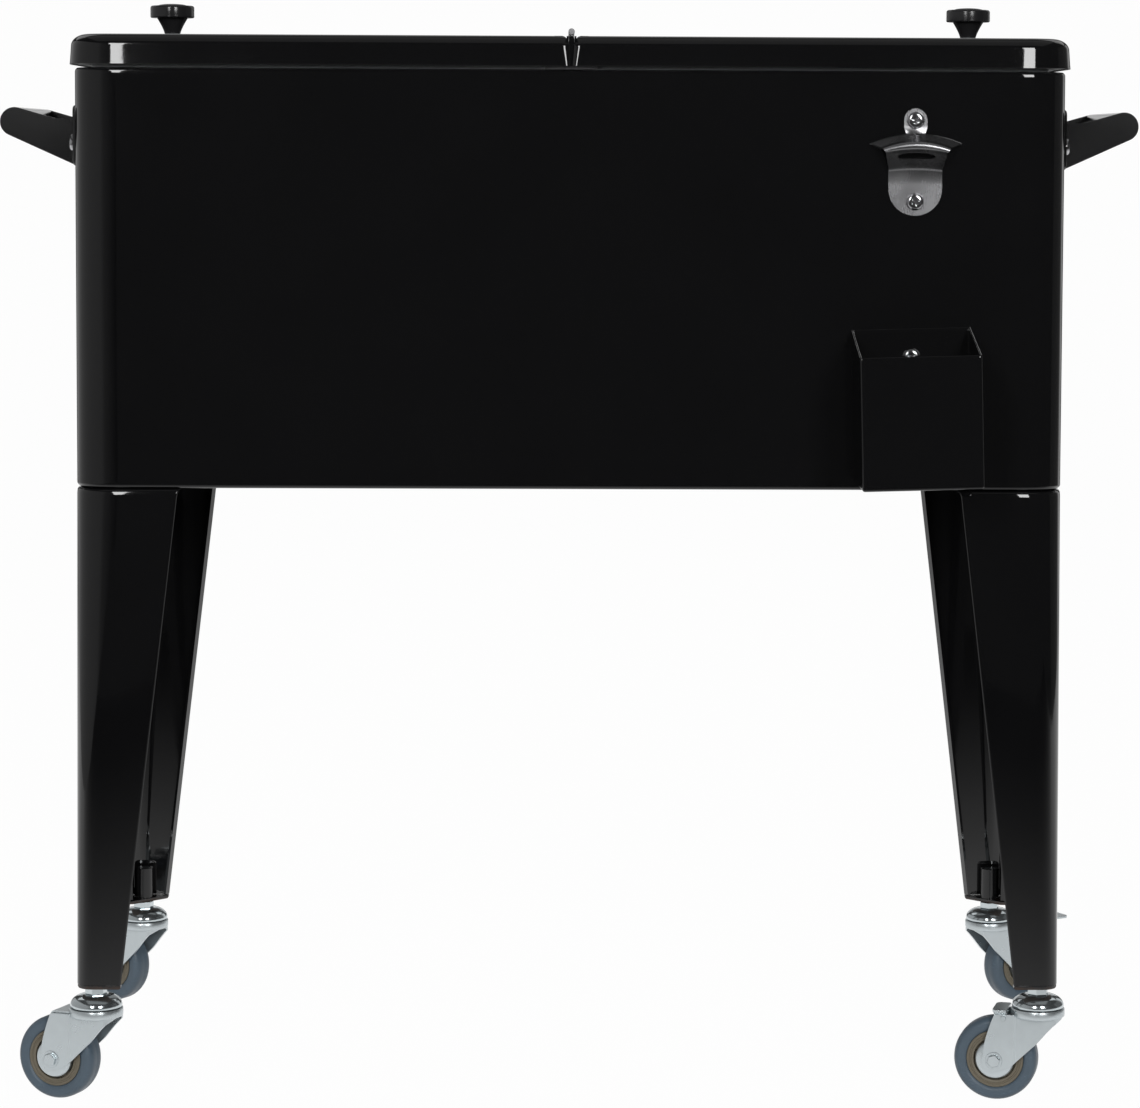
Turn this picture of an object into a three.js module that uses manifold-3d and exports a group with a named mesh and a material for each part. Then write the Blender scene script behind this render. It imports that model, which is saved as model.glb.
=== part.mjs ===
// Rolling patio cooler: an insulated steel chest on four folded legs, with two lids
// hinged along the middle, side handles, a bottle opener with a cap catcher below it,
// and four swivel castors, the two on the right with a brake pedal.
// Millimetres. X is the long side, the front is -Y, Z is up, and Z = 0 is the floor.

import * as THREE from 'three';
import { mergeVertices } from 'three/addons/utils/BufferGeometryUtils.js';
import Module from 'manifold-3d';

const wasm = await Module();
wasm.setup();

// Clearances and overruns shared by all pieces
const gap = 0.3;
const pressLap = 0.5;
const cutOverrun = 2;

// Steel body
const bodyWidth = 760;
const bodyDepth = 372;
const bodyHeight = 320;
const bodyCornerRadius = 30;
const bodyBottomRadius = 5;
const shoulderRadius = 3;
const shellWall = 1;
const rimReturn = 12;

// Tub and the foam around it
const foamSide = 22;
const foamBottom = 25;
const tubWall = 3;
const tubFlangeInset = 8;
const tubFlangeThickness = 2.5;
const tubCornerRadius = 22;
const tubFloorRadius = 14;
const tubDraft = 5;

// Bridge across the tub, which carries the hinge
const bridgeWidth = 40;
const bridgeHeight = 18;
const bridgeWall = 2;
const bridgeTabLength = 14;
const fixedLeafThickness = 1.2;

// Lids
const lidOverhang = 4;
const lidLift = 2.3;
const lidHeight = 23.2;
const lidTopRadius = 10;
const lidInnerTopRadius = 3;
const lidInnerCornerRadius = 7;
const lidSheet = 1.5;
const lidMiddleGap = 8;
const plugDepth = 6;
const plugClearance = 5;
const linerEdge = 3;

// Hinge along the middle
const knuckleRadius = 2.4;
const hingeRise = 3;
const pinRadius = 1.1;
const lidLeafThickness = 1.4;
const lidLeafHeight = 19;
const leafRecess = 2;
const knuckleCount = 9;
const knuckleGap = 0.6;
const pinHeadThickness = 1;

// Knobs
const knobInset = 59.5;
const knobDiscRadius = 17.6;
const knobDiscHeight = 9.8;
const knobCrownHeight = 1.5;
const knobCrownRadius = 11;
const knobEdgeRadius = 1.2;
const knobNeckTopRadius = 12.4;
const knobNeckRadius = 6.2;
const knobNeckHeight = 12.3;
const knobFootHeight = 5.1;
const knobScrewRadius = 2.5;
const knobScrewHeadRadius = 5.5;
const knobScrewHeadHeight = 3;
const knobScrewReach = 14;

// Legs
const legTopWidth = 81;
const legBottomWidth = 35.5;
const legWall = 2;
const legReturn = 7;
const legBottomRadius = 13;
const legHeight = 384.7;
const legTopPlate = 2;
const legFootGap = 0.3;

// Leg sockets
const soleThickness = 3;
const sleeveRadius = 8;
const sleeveHeight = 26;

// Castors
const wheelRadius = 32.5;
const tyreWidth = 20;
const tyreShoulder = 3.5;
const coreRadius = 22;
const hubCapRadius = 15.6;
const hubCapProud = 1.8;
const castorTrail = 32;
const castorInset = 14.5;
const forkRise = 33.8;
const forkSheet = 2.2;
const cheekClearance = 0.7;
const cheekEndRadius = 9;
const crownRadius = 20.8;
const crownHeight = 7;
const crownPlate = 2.6;
const crownRim = 3.2;
const browReach = 32;
const raceGap = 0.4;
const domeHeight = 10.2;
const domeRadius = 20.3;
const collarRadius = 8.3;
const collarHeight = 5.5;
const stemRadius = 5.5;
const kingpinRadius = 4;
const kingpinHeadRadius = 6.5;
const kingpinHeadHeight = 2.2;
const axleRadius = 4;
const axleHeadRadius = 5.2;
const axleHeadHeight = 3.4;

// Brake pedals on the right-hand castors
const pedalWidth = 30;
const pedalSheet = 2;
const pedalLift = 4.2;
const pedalPivotInset = 25;
const pedalPivotRadius = 1.2;
const pedalEarSheet = 2;
const shoeLength = 3;
const shoeClearance = 1.4;
const frontPedalReach = 34;
const rearPedalReach = 74;

// How each castor stands at rest, in degrees about its stem
const castorTurns = { front_left: -22.5, front_right: -14.4, rear_left: -32, rear_right: 208.6 };

// Side handles
const handleWidth = 180;
const handleBaseWidth = 224;
const handleBaseHeight = 47;
const handleBaseDepth = 7.5;
const handleSheet = 1.6;
const handleTopDrop = 28;
const handleReach = 69.5;
const handleTipRadius = 11.3;
const handleTipDrop = 12.9;
const handleRootRise = 35.8;
const handleKneeReach = 24;
const handleKneeRise = 37;
const handleGripInner = 49;
const handleGripSlit = 4;
const handleScrewInset = 11;
const handleScrewRise = 18;

// Pan-head screws
const screwRadius = 2.5;
const screwHeadRadius = 6.6;
const screwHeadHeight = 3;
const screwReach = 8;

// Bottle opener
const openerTopDrop = 28.3;
const openerHeight = 81.4;
const openerSheet = 1.6;
const openerInset = 118;
const openerLugRadius = 9;
const openerPlateWidth = 41;
const openerHoodWidth = 71;
const openerLipWidth = 49;
const openerHoodDrop = 18.7;
const openerWingDrop = 25;
const openerLipTopDrop = 24.7;
const openerLipBottomDrop = 33.2;
const openerBendDrop = 46.7;
const openerReach = 13.4;
const openerSlotWidth = 28;
const openerSlotDrop = 34.3;
const openerSlotHeight = 4.8;
const openerLowerScrewRise = 10.6;

// Cap catcher
const catcherInset = 119.5;
const catcherWidth = 91;
const catcherBackHeight = 117.5;
const catcherFrontHeight = 100;
const catcherReach = 83;
const catcherSheet = 1.4;
const catcherBottomRise = 7;
const catcherScrewDrop = 22;
const catcherTilt = 1.6;

// Drain under the tub
const drainInsetX = 130;
const drainInsetY = 76;
const drainBore = 8;
const drainWall = 3;
const drainFlangeRadius = 17;
const drainFlangeThickness = 2;
const drainDrop = 14;
const drainCapWall = 2.2;
const drainCapDepth = 11;

// Shares of the sizes above
const cheekNoseShare = 0.66;
const cheekShoulderShare = 0.8;
const treadShare = 1.6;
const screwRimShare = 0.8;
const screwCrownShare = 0.4;

// Facets of round shapes
const cornerSteps = 5;
const screwSides = 16;
const wheelSides = 24;
const knobSides = 24;
const knuckleSides = 12;

// Levels and places worked out from the sizes above
const halfWidth = bodyWidth / 2;
const halfDepth = bodyDepth / 2;
const knobPlace = halfWidth - knobInset;
const openerPlace = halfWidth - openerInset;
const catcherPlace = halfWidth - catcherInset;
const drainPlaceX = halfWidth - drainInsetX;
const drainPlaceY = halfDepth - drainInsetY;
const axleLevel = wheelRadius;
const crownBottom = axleLevel + forkRise;
const crownTop = crownBottom + crownHeight;
const domeBottom = crownTop + raceGap;
const domeTop = domeBottom + domeHeight;
const collarTop = domeTop + collarHeight;
const soleBottom = collarTop + gap;
const soleTop = soleBottom + soleThickness;
const legBottom = soleTop + legFootGap;
const legTop = legBottom + legHeight;
const bodyBottom = legTop + gap;
const bodyTop = bodyBottom + bodyHeight;
const tubFlangeBottom = bodyTop + gap;
const tubTop = tubFlangeBottom + tubFlangeThickness;
const tubHalfWidth = halfWidth - shellWall - foamSide;
const tubHalfDepth = halfDepth - shellWall - foamSide;
const tubBottom = bodyBottom + shellWall + foamBottom;
const tubFloor = tubBottom + tubWall;
const lidBottom = bodyTop + lidLift;
const lidTop = lidBottom + lidHeight;
const lidOuterX = halfWidth + lidOverhang;
const lidOuterY = halfDepth + lidOverhang;
const lidInnerX = lidMiddleGap / 2;
const linerBottom = tubTop + gap;
const hingeLevel = lidTop + hingeRise;

// Materials
function finish(color, roughness, metalness) {
  return new THREE.MeshStandardMaterial({ color, roughness, metalness });
}
const blackPaint = finish(0x141416, 0.22, 0.1);
const foamMaterial = finish(0xe6d9a8, 0.9, 0);
const tubMaterial = finish(0xd9dcdd, 0.5, 0);
const knobMaterial = finish(0x38383a, 0.45, 0);
const stainless = finish(0xb4b6b8, 0.3, 0.95);
const zinc = finish(0xbec8ca, 0.28, 0.9);
const tyreMaterial = finish(0x54646f, 0.6, 0);
const coreMaterial = finish(0x736c5c, 0.6, 0);
const darkPlastic = finish(0x2a2a2c, 0.5, 0);

// Solids

function signedVolume(positions, index) {
  const a = new THREE.Vector3();
  const b = new THREE.Vector3();
  const c = new THREE.Vector3();
  let sixfold = 0;
  for (let i = 0; i < index.length; i += 3) {
    a.fromArray(positions, index[i] * 3);
    b.fromArray(positions, index[i + 1] * 3);
    c.fromArray(positions, index[i + 2] * 3);
    sixfold += a.dot(b.cross(c));
  }
  return sixfold;
}

// A closed three.js geometry as a solid, with its faces turned outwards
function toSolid(geometry) {
  const plain = new THREE.BufferGeometry();
  plain.setAttribute('position', geometry.getAttribute('position').clone());
  if (geometry.index) plain.setIndex(geometry.index.clone());
  const welded = mergeVertices(plain);
  const positions = Float32Array.from(welded.getAttribute('position').array);
  const corners = [];
  const source = welded.index.array;
  for (let i = 0; i < source.length; i += 3) {
    const [p, q, r] = [source[i], source[i + 1], source[i + 2]];
    if (p !== q && q !== r && r !== p) corners.push(p, q, r);
  }
  if (signedVolume(positions, corners) < 0) corners.reverse();
  const triVerts = Uint32Array.from(corners);
  return new wasm.Manifold(new wasm.Mesh({ numProp: 3, vertProperties: positions, triVerts }));
}

// Rounded outline of a rectangle, with its own radius at the low-X and high-X corners
function roundedOutline(x0, x1, y0, y1, radiusLow, radiusHigh, steps = cornerSteps) {
  const corners = [
    [x1 - radiusHigh, y0 + radiusHigh, radiusHigh, -Math.PI / 2],
    [x1 - radiusHigh, y1 - radiusHigh, radiusHigh, 0],
    [x0 + radiusLow, y1 - radiusLow, radiusLow, Math.PI / 2],
    [x0 + radiusLow, y0 + radiusLow, radiusLow, Math.PI],
  ];
  const outline = [];
  for (const [cx, cy, radius, start] of corners) {
    for (let i = 0; i <= steps; i++) {
      const angle = start + (Math.PI / 2) * (i / steps);
      outline.push([cx + radius * Math.cos(angle), cy + radius * Math.sin(angle)]);
    }
  }
  return outline;
}

// Skin carried through a stack of outlines that have the same number of points
function loft(stack) {
  const clockwise = THREE.ShapeUtils.area(shapeOf(stack[0].outline).getPoints()) < 0;
  const rings = stack.map(({ outline, z }) => ({ outline: clockwise ? outline.toReversed() : outline, z }));
  const count = rings[0].outline.length;
  const positions = [];
  for (const { outline, z } of rings) for (const [x, y] of outline) positions.push(x, y, z);
  const index = [];
  for (let ring = 0; ring < rings.length - 1; ring++) {
    for (let i = 0; i < count; i++) {
      const a = ring * count + i;
      const b = ring * count + ((i + 1) % count);
      index.push(a, b, b + count, a, b + count, a + count);
    }
  }
  const last = (rings.length - 1) * count;
  const capOf = (ring) => {
    const points = ring.outline.map(([x, y]) => new THREE.Vector2(x, y));
    return THREE.ShapeUtils.triangulateShape(points, []);
  };
  for (const [a, b, c] of capOf(rings[0])) index.push(a, c, b);
  for (const [a, b, c] of capOf(rings[rings.length - 1])) index.push(last + a, last + b, last + c);
  const geometry = new THREE.BufferGeometry();
  geometry.setAttribute('position', new THREE.Float32BufferAttribute(positions, 3));
  geometry.setIndex(index);
  return toSolid(geometry);
}

function shapeOf(points) {
  return new THREE.Shape(points.map(([x, y]) => new THREE.Vector2(x, y)));
}

// Prisms whose outline lies in the XY, XZ or YZ plane
function prismZ(points, z0, z1) {
  const geometry = new THREE.ExtrudeGeometry(shapeOf(points), { depth: z1 - z0, bevelEnabled: false });
  return toSolid(geometry.translate(0, 0, z0));
}

function prismY(points, y0, y1) {
  const geometry = new THREE.ExtrudeGeometry(shapeOf(points), { depth: y1 - y0, bevelEnabled: false });
  return toSolid(geometry.rotateX(Math.PI / 2).translate(0, y1, 0));
}

function prismX(points, x0, x1) {
  const geometry = new THREE.ExtrudeGeometry(shapeOf(points), { depth: x1 - x0, bevelEnabled: false });
  const turn = new THREE.Matrix4().makeBasis(
    new THREE.Vector3(0, 1, 0),
    new THREE.Vector3(0, 0, 1),
    new THREE.Vector3(1, 0, 0),
  );
  return toSolid(geometry.applyMatrix4(turn).translate(x0, 0, 0));
}

function block(x0, x1, y0, y1, z0, z1) {
  const geometry = new THREE.BoxGeometry(x1 - x0, y1 - y0, z1 - z0);
  return toSolid(geometry.translate((x0 + x1) / 2, (y0 + y1) / 2, (z0 + z1) / 2));
}

// Round rods along each axis
function rodY(radius, y0, y1, x, z, sides = screwSides) {
  const geometry = new THREE.CylinderGeometry(radius, radius, y1 - y0, sides);
  return toSolid(geometry.translate(x, (y0 + y1) / 2, z));
}

function rodZ(radius, z0, z1, x = 0, y = 0, sides = screwSides) {
  const geometry = new THREE.CylinderGeometry(radius, radius, z1 - z0, sides);
  return toSolid(geometry.rotateX(Math.PI / 2).translate(x, y, (z0 + z1) / 2));
}

function rodX(radius, x0, x1, y, z, sides = screwSides) {
  const geometry = new THREE.CylinderGeometry(radius, radius, x1 - x0, sides);
  return toSolid(geometry.rotateZ(Math.PI / 2).translate((x0 + x1) / 2, y, z));
}

// Turned solid about Z from [radius, height] points
function turned(profile, sides) {
  const points = profile.map(([radius, height]) => new THREE.Vector2(radius, height));
  return toSolid(new THREE.LatheGeometry(points, sides).rotateX(Math.PI / 2));
}

function closedProfile(profile) {
  return [...profile, profile[0]];
}

const cooler = new THREE.Group();

function addPart(name, solid, material, parent = cooler) {
  const { vertProperties, triVerts } = solid.getMesh();
  const geometry = new THREE.BufferGeometry();
  geometry.setAttribute('position', new THREE.BufferAttribute(new Float32Array(vertProperties), 3));
  geometry.setIndex(new THREE.BufferAttribute(new Uint32Array(triVerts), 1));
  geometry.computeVertexNormals();
  const mesh = new THREE.Mesh(geometry, material);
  mesh.name = name;
  parent.add(mesh);
  return mesh;
}

// Places of the fastenings, used by the pieces and by the holes for them
const handleTop = bodyTop - handleTopDrop;
const handleBottom = handleTop - handleBaseHeight;
const handleScrewLevel = handleBottom + handleScrewRise;
const handleScrewY = handleBaseWidth / 2 - handleScrewInset;
const openerTop = bodyTop - openerTopDrop;
const openerBottom = openerTop - openerHeight;
const openerUpperScrew = openerTop - openerLugRadius;
const openerLowerScrew = openerBottom + openerLowerScrewRise;
const catcherBottom = bodyBottom + catcherBottomRise;
const catcherBackTop = catcherBottom + catcherBackHeight;
const catcherScrewLevel = catcherBackTop - catcherScrewDrop;

const frontScrews = [
  { name: 'opener_screw_upper', x: openerPlace, z: openerUpperScrew, seat: openerSheet },
  { name: 'opener_screw_lower', x: openerPlace, z: openerLowerScrew, seat: openerSheet },
  { name: 'catcher_screw', x: catcherPlace, z: catcherScrewLevel, seat: catcherSheet },
];
const handleScrews = [];
for (const [sideName, side] of [['left', -1], ['right', 1]]) {
  for (const [endName, end] of [['front', -1], ['rear', 1]]) {
    handleScrews.push({ name: `handle_screw_${sideName}_${endName}`, side, y: end * handleScrewY });
  }
}

// Holes for every screw that goes through the steel into the foam
function screwHoles(radius, depth) {
  const holes = [];
  for (const { x, z } of frontScrews) {
    holes.push(rodY(radius, -halfDepth - cutOverrun, -halfDepth + depth, x, z));
  }
  for (const { side, y } of handleScrews) {
    const inner = side * (halfWidth - depth);
    const outer = side * (halfWidth + cutOverrun);
    holes.push(rodX(radius, Math.min(inner, outer), Math.max(inner, outer), y, handleScrewLevel));
  }
  return holes;
}

function bodyRing(inset, z, radius = Math.max(bodyCornerRadius - inset, pressLap)) {
  const x = halfWidth - inset;
  const y = halfDepth - inset;
  return { outline: roundedOutline(-x, x, -y, y, radius, radius), z };
}

// Steel shell: a rounded box open at the top, with its rim turned inwards
function outerShell() {
  const rimDepth = shellWall;
  let shell = loft([
    bodyRing(bodyBottomRadius, bodyBottom),
    bodyRing(bodyBottomRadius * (1 - Math.SQRT1_2), bodyBottom + bodyBottomRadius * (1 - Math.SQRT1_2)),
    bodyRing(0, bodyBottom + bodyBottomRadius),
    bodyRing(0, bodyTop - shoulderRadius),
    bodyRing(shoulderRadius * (1 - Math.SQRT1_2), bodyTop - shoulderRadius * (1 - Math.SQRT1_2)),
    bodyRing(shoulderRadius, bodyTop),
    bodyRing(rimReturn, bodyTop),
    bodyRing(rimReturn, bodyTop - rimDepth),
    bodyRing(shoulderRadius + shellWall, bodyTop - rimDepth),
    bodyRing(shellWall, bodyTop - shoulderRadius - shellWall),
    bodyRing(shellWall, bodyBottom + bodyBottomRadius + shellWall),
    bodyRing(bodyBottomRadius + shellWall, bodyBottom + shellWall),
  ]);
  for (const hole of screwHoles(screwRadius + gap, shellWall + cutOverrun)) shell = shell.subtract(hole);
  return shell.subtract(drainHole(bodyBottom - cutOverrun, bodyBottom + shellWall + cutOverrun));
}

function drainHole(z0, z1) {
  return rodZ(drainBore + drainWall + gap, z0, z1, drainPlaceX, drainPlaceY);
}

// Poured foam between the shell and the tub
function insulation() {
  const outer = shellWall + gap;
  const inner = shellWall + foamSide - gap;
  const foamTop = bodyTop - shoulderRadius - shellWall - gap;
  const radius = tubCornerRadius + tubWall + gap;
  const lowX = tubHalfWidth + gap;
  const lowY = tubHalfDepth + gap;
  const floorRing = (drop) => ({
    outline: roundedOutline(-lowX + drop, lowX - drop, -lowY + drop, lowY - drop, radius, radius),
    z: tubBottom - gap,
  });
  let foam = loft([
    bodyRing(outer + bodyBottomRadius, bodyBottom + shellWall + gap),
    bodyRing(outer, bodyBottom + shellWall + gap + bodyBottomRadius),
    bodyRing(outer, foamTop),
    bodyRing(inner, foamTop, radius),
    floorRing(tubDraft),
  ]);
  for (const hole of screwHoles(screwRadius + 2 * gap, screwReach + 2 * gap)) foam = foam.subtract(hole);
  return foam.subtract(drainHole(bodyBottom - cutOverrun, tubBottom + cutOverrun));
}

function tubRing(inset, z, radius) {
  const x = tubHalfWidth - inset;
  const y = tubHalfDepth - inset;
  return { outline: roundedOutline(-x, x, -y, y, radius, radius), z };
}

// Tub: drafted walls, a flange that lies on the shell's rim, and notches for the bridge
function innerTub() {
  const outerRadius = tubCornerRadius + tubWall;
  const flange = tubFlangeInset;
  let tub = loft([
    tubRing(tubDraft + tubFloorRadius / 2, tubBottom, outerRadius),
    tubRing(tubDraft, tubBottom + tubFloorRadius / 2, outerRadius),
    tubRing(0, tubFlangeBottom, outerRadius),
    bodyRing(flange, tubFlangeBottom),
    bodyRing(flange, tubTop - tubFlangeThickness / 2),
    bodyRing(flange + tubFlangeThickness / 2, tubTop),
    tubRing(tubWall, tubTop, tubCornerRadius),
    tubRing(tubDraft + tubWall, tubFloor + tubFloorRadius / 2, tubCornerRadius),
    tubRing(tubDraft + tubWall + tubFloorRadius / 2, tubFloor, tubCornerRadius),
  ]);
  const notchHalf = bridgeWidth / 2 + gap;
  const notchEnd = tubHalfDepth + bridgeTabLength + gap;
  for (const side of [-1, 1]) {
    const near = side * (tubHalfDepth - tubWall - cutOverrun);
    const far = side * notchEnd;
    const [y0, y1] = [Math.min(near, far), Math.max(near, far)];
    tub = tub.subtract(block(-notchHalf, notchHalf, y0, y1, bodyTop, tubTop + cutOverrun));
  }
  return tub.subtract(drainHole(tubBottom - cutOverrun, tubFloor + cutOverrun));
}

// Knuckle slots along the hinge: the fixed ones alternate with the two lids' in turn
const hingeHalfLength = lidOuterY - leafRecess / 2;
const knucklePitch = (2 * hingeHalfLength) / knuckleCount;

function knuckleOwner(slot) {
  if (slot % 2 === 0) return 'fixed';
  return slot % 4 === 1 ? 'left' : 'right';
}

function knuckleSpans(owner) {
  const spans = [];
  for (let slot = 0; slot < knuckleCount; slot++) {
    if (knuckleOwner(slot) !== owner) continue;
    const start = -hingeHalfLength + slot * knucklePitch;
    spans.push([start + knuckleGap / 2, start + knucklePitch - knuckleGap / 2]);
  }
  return spans;
}

function withKnuckles(plate, spans, neck) {
  let solid = plate;
  for (const [y0, y1] of spans) {
    solid = solid.add(rodY(knuckleRadius, y0, y1, 0, hingeLevel, knuckleSides));
    solid = solid.add(prismY(neck, y0, y1));
  }
  const boreEnd = lidOuterY + cutOverrun;
  const bore = rodY(pinRadius + gap, -boreEnd, boreEnd, 0, hingeLevel, knuckleSides);
  return solid.subtract(bore);
}

// Channel across the tub with the upright leaf and the fixed knuckles
function hingeBridge() {
  const half = bridgeWidth / 2;
  const spanY = tubHalfDepth - tubWall - 2 * gap - tubDraft / 2;
  const tabY = tubHalfDepth + bridgeTabLength;
  const bottom = tubTop - bridgeHeight;
  const leafHalf = fixedLeafThickness / 2;
  const leafY = lidOuterY - leafRecess;
  let bridge = block(-half, half, -spanY, spanY, bottom, tubTop);
  bridge = bridge.subtract(
    block(-half + bridgeWall, half - bridgeWall, -spanY - cutOverrun, spanY + cutOverrun, bottom - cutOverrun,
      tubTop - tubFlangeThickness),
  );
  bridge = bridge.add(block(-half, half, -tabY, tabY, tubFlangeBottom, tubTop));
  bridge = bridge.add(block(-leafHalf, leafHalf, -tabY, tabY, tubTop - pressLap, hingeLevel - pinRadius));
  bridge = bridge.add(block(-leafHalf, leafHalf, -leafY, leafY, linerBottom, hingeLevel - pinRadius));
  for (const owner of ['left', 'right']) {
    for (const [y0, y1] of knuckleSpans(owner)) {
      const top = hingeLevel - knuckleRadius - knuckleGap;
      bridge = bridge.subtract(
        block(-half, half, y0 - knuckleGap, y1 + knuckleGap, top, hingeLevel + knuckleRadius + cutOverrun),
      );
    }
  }
  const neck = [
    [-leafHalf, hingeLevel - knuckleRadius - pressLap],
    [leafHalf, hingeLevel - knuckleRadius - pressLap],
    [leafHalf, hingeLevel - pinRadius],
    [-leafHalf, hingeLevel - pinRadius],
  ];
  return withKnuckles(bridge, knuckleSpans('fixed'), neck);
}

function hingePin() {
  const end = hingeHalfLength + pinHeadThickness / 2;
  const pin = rodY(pinRadius, -end, end, 0, hingeLevel, knuckleSides);
  const headOuter = end + pinHeadThickness;
  return pin.add(rodY(knuckleRadius - gap, -headOuter, -end, 0, hingeLevel, knuckleSides));
}

// Everything of a lid is worked out for the right-hand one and mirrored for the left
function mirrored(solid, side) {
  return side > 0 ? solid : solid.mirror([1, 0, 0]);
}

function lidRing(inset, innerInset, z, shrink = 0) {
  const outerRadius = Math.max(bodyCornerRadius + lidOverhang - Math.max(inset, shrink), pressLap);
  const innerRadius = Math.max(lidInnerCornerRadius - Math.max(innerInset, shrink), pressLap);
  const y = lidOuterY - inset - shrink;
  const outline = roundedOutline(
    lidInnerX + innerInset + shrink, lidOuterX - inset - shrink, -y, y, innerRadius, outerRadius,
  );
  return { outline, z };
}

function lidPan() {
  const roll = (share) => {
    const angle = (share * Math.PI) / 2;
    const inset = lidTopRadius * (1 - Math.sin(angle));
    const innerInset = lidInnerTopRadius * (1 - Math.sin(angle));
    return lidRing(inset, innerInset, lidTop - lidTopRadius * (1 - Math.cos(angle)));
  };
  const innerCeiling = lidTop - lidSheet;
  const pan = loft([
    roll(0),
    roll(1 / 3),
    roll(2 / 3),
    roll(1),
    lidRing(0, 0, lidBottom),
    lidRing(0, 0, lidBottom, lidSheet),
    lidRing(0, 0, lidTop - lidTopRadius, lidSheet),
    lidRing(lidTopRadius - lidSheet, lidInnerTopRadius, innerCeiling, lidSheet),
  ]);
  const flangeY = halfDepth - tubFlangeInset + gap;
  const overBridge = block(
    lidInnerX - cutOverrun, lidInnerX + lidSheet + cutOverrun, -flangeY, flangeY,
    lidBottom - cutOverrun, linerBottom,
  );
  return pan.subtract(overBridge).subtract(
    rodZ(knobScrewRadius + gap, innerCeiling - cutOverrun, lidTop + cutOverrun, knobPlace, 0),
  );
}

// Foam-filled inner panel with a plug that drops into the tub
function lidLiner() {
  const shrink = lidSheet + gap;
  const plugX0 = bridgeWidth / 2 + plugClearance;
  const plugX1 = tubHalfWidth - tubWall - plugClearance;
  const plugY = tubHalfDepth - tubWall - plugClearance;
  const plugRadius = Math.max(tubCornerRadius - plugClearance, pressLap);
  const plugRing = (inset, z) => ({
    outline: roundedOutline(
      plugX0 + inset, plugX1 - inset, -plugY + inset, plugY - inset, plugRadius, plugRadius,
    ),
    z,
  });
  const liner = loft([
    lidRing(lidTopRadius, lidInnerTopRadius, lidTop - lidSheet - gap, shrink),
    lidRing(0, 0, lidTop - lidTopRadius, shrink),
    lidRing(linerEdge / 2, linerEdge / 2, linerBottom, shrink),
    plugRing(0, linerBottom),
    plugRing(linerEdge, linerBottom - plugDepth),
  ]);
  const headTop = lidTop - lidSheet - gap;
  const pocketBottom = headTop - knobScrewHeadHeight - gap;
  const pocket = rodZ(knobScrewHeadRadius + gap, pocketBottom, headTop + cutOverrun, knobPlace, 0);
  return liner.subtract(pocket);
}

// Knob: a disc with a low crown on a cone, tapped from below
function knob() {
  const foot = lidTop + gap;
  const neckBottom = foot + knobFootHeight;
  const discBottom = neckBottom + knobNeckHeight;
  const discTop = discBottom + knobDiscHeight;
  const hole = knobScrewRadius + gap;
  const holeTop = foot + knobScrewReach + gap;
  return turned(closedProfile([
    [0, holeTop],
    [hole, holeTop],
    [hole, foot],
    [knobNeckRadius, foot],
    [knobNeckRadius, neckBottom],
    [knobNeckTopRadius, discBottom],
    [knobDiscRadius, discBottom],
    [knobDiscRadius, discTop - knobEdgeRadius],
    [knobDiscRadius - knobEdgeRadius, discTop],
    [knobCrownRadius, discTop],
    [knobCrownRadius - knobCrownHeight, discTop + knobCrownHeight],
    [0, discTop + knobCrownHeight],
  ]), knobSides);
}

function knobScrew() {
  const headTop = lidTop - lidSheet - gap;
  return turned(closedProfile([
    [0, headTop - knobScrewHeadHeight],
    [knobScrewHeadRadius, headTop - knobScrewHeadHeight],
    [knobScrewHeadRadius, headTop],
    [knobScrewRadius, headTop],
    [knobScrewRadius, lidTop + knobScrewReach],
    [0, lidTop + knobScrewReach],
  ]), screwSides);
}

function lidLeaf(owner) {
  const outer = lidInnerX - gap;
  const inner = outer - lidLeafThickness;
  const top = hingeLevel - hingeRise - gap;
  const end = lidOuterY - leafRecess;
  const plate = block(inner, outer, -end, end, top - lidLeafHeight, top);
  const neck = [
    [inner, top - lidLeafThickness],
    [outer, top - lidLeafThickness],
    [knuckleRadius, hingeLevel],
    [0, hingeLevel - knuckleRadius + pressLap],
  ];
  return withKnuckles(plate, knuckleSpans(owner), neck);
}

function addLid(owner, side) {
  addPart(`lid_${owner}`, mirrored(lidPan(), side), blackPaint);
  addPart(`lid_liner_${owner}`, mirrored(lidLiner(), side), tubMaterial);
  addPart(`lid_hinge_leaf_${owner}`, mirrored(lidLeaf(owner), side), stainless);
  const place = new THREE.Group();
  place.position.x = side * knobPlace;
  addPart(`lid_knob_${owner}`, knob(), knobMaterial, place);
  addPart(`lid_knob_screw_${owner}`, knobScrew(), zinc, place);
  cooler.add(place);
}

// Leg: a folded angle that tapers downwards, with returned edges and a plate at the top
function legOutline(width, radius, cornerX, cornerY) {
  const arc = (r) => {
    const points = [];
    for (let i = 0; i <= cornerSteps; i++) {
      const angle = (Math.PI / 2) * (i / cornerSteps);
      points.push([radius - r * Math.sin(angle), radius - r * Math.cos(angle)]);
    }
    return points;
  };
  const inner = width - legWall;
  const local = [
    [width, legReturn],
    [width, 0],
    ...arc(radius),
    [0, width],
    [legReturn, width],
    [legReturn, inner],
    [legWall, inner],
    ...arc(radius - legWall).reverse(),
    [inner, legWall],
    [inner, legReturn],
  ];
  return local.map(([a, b]) => [cornerX * (halfWidth - a), cornerY * (halfDepth - b)]);
}

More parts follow.
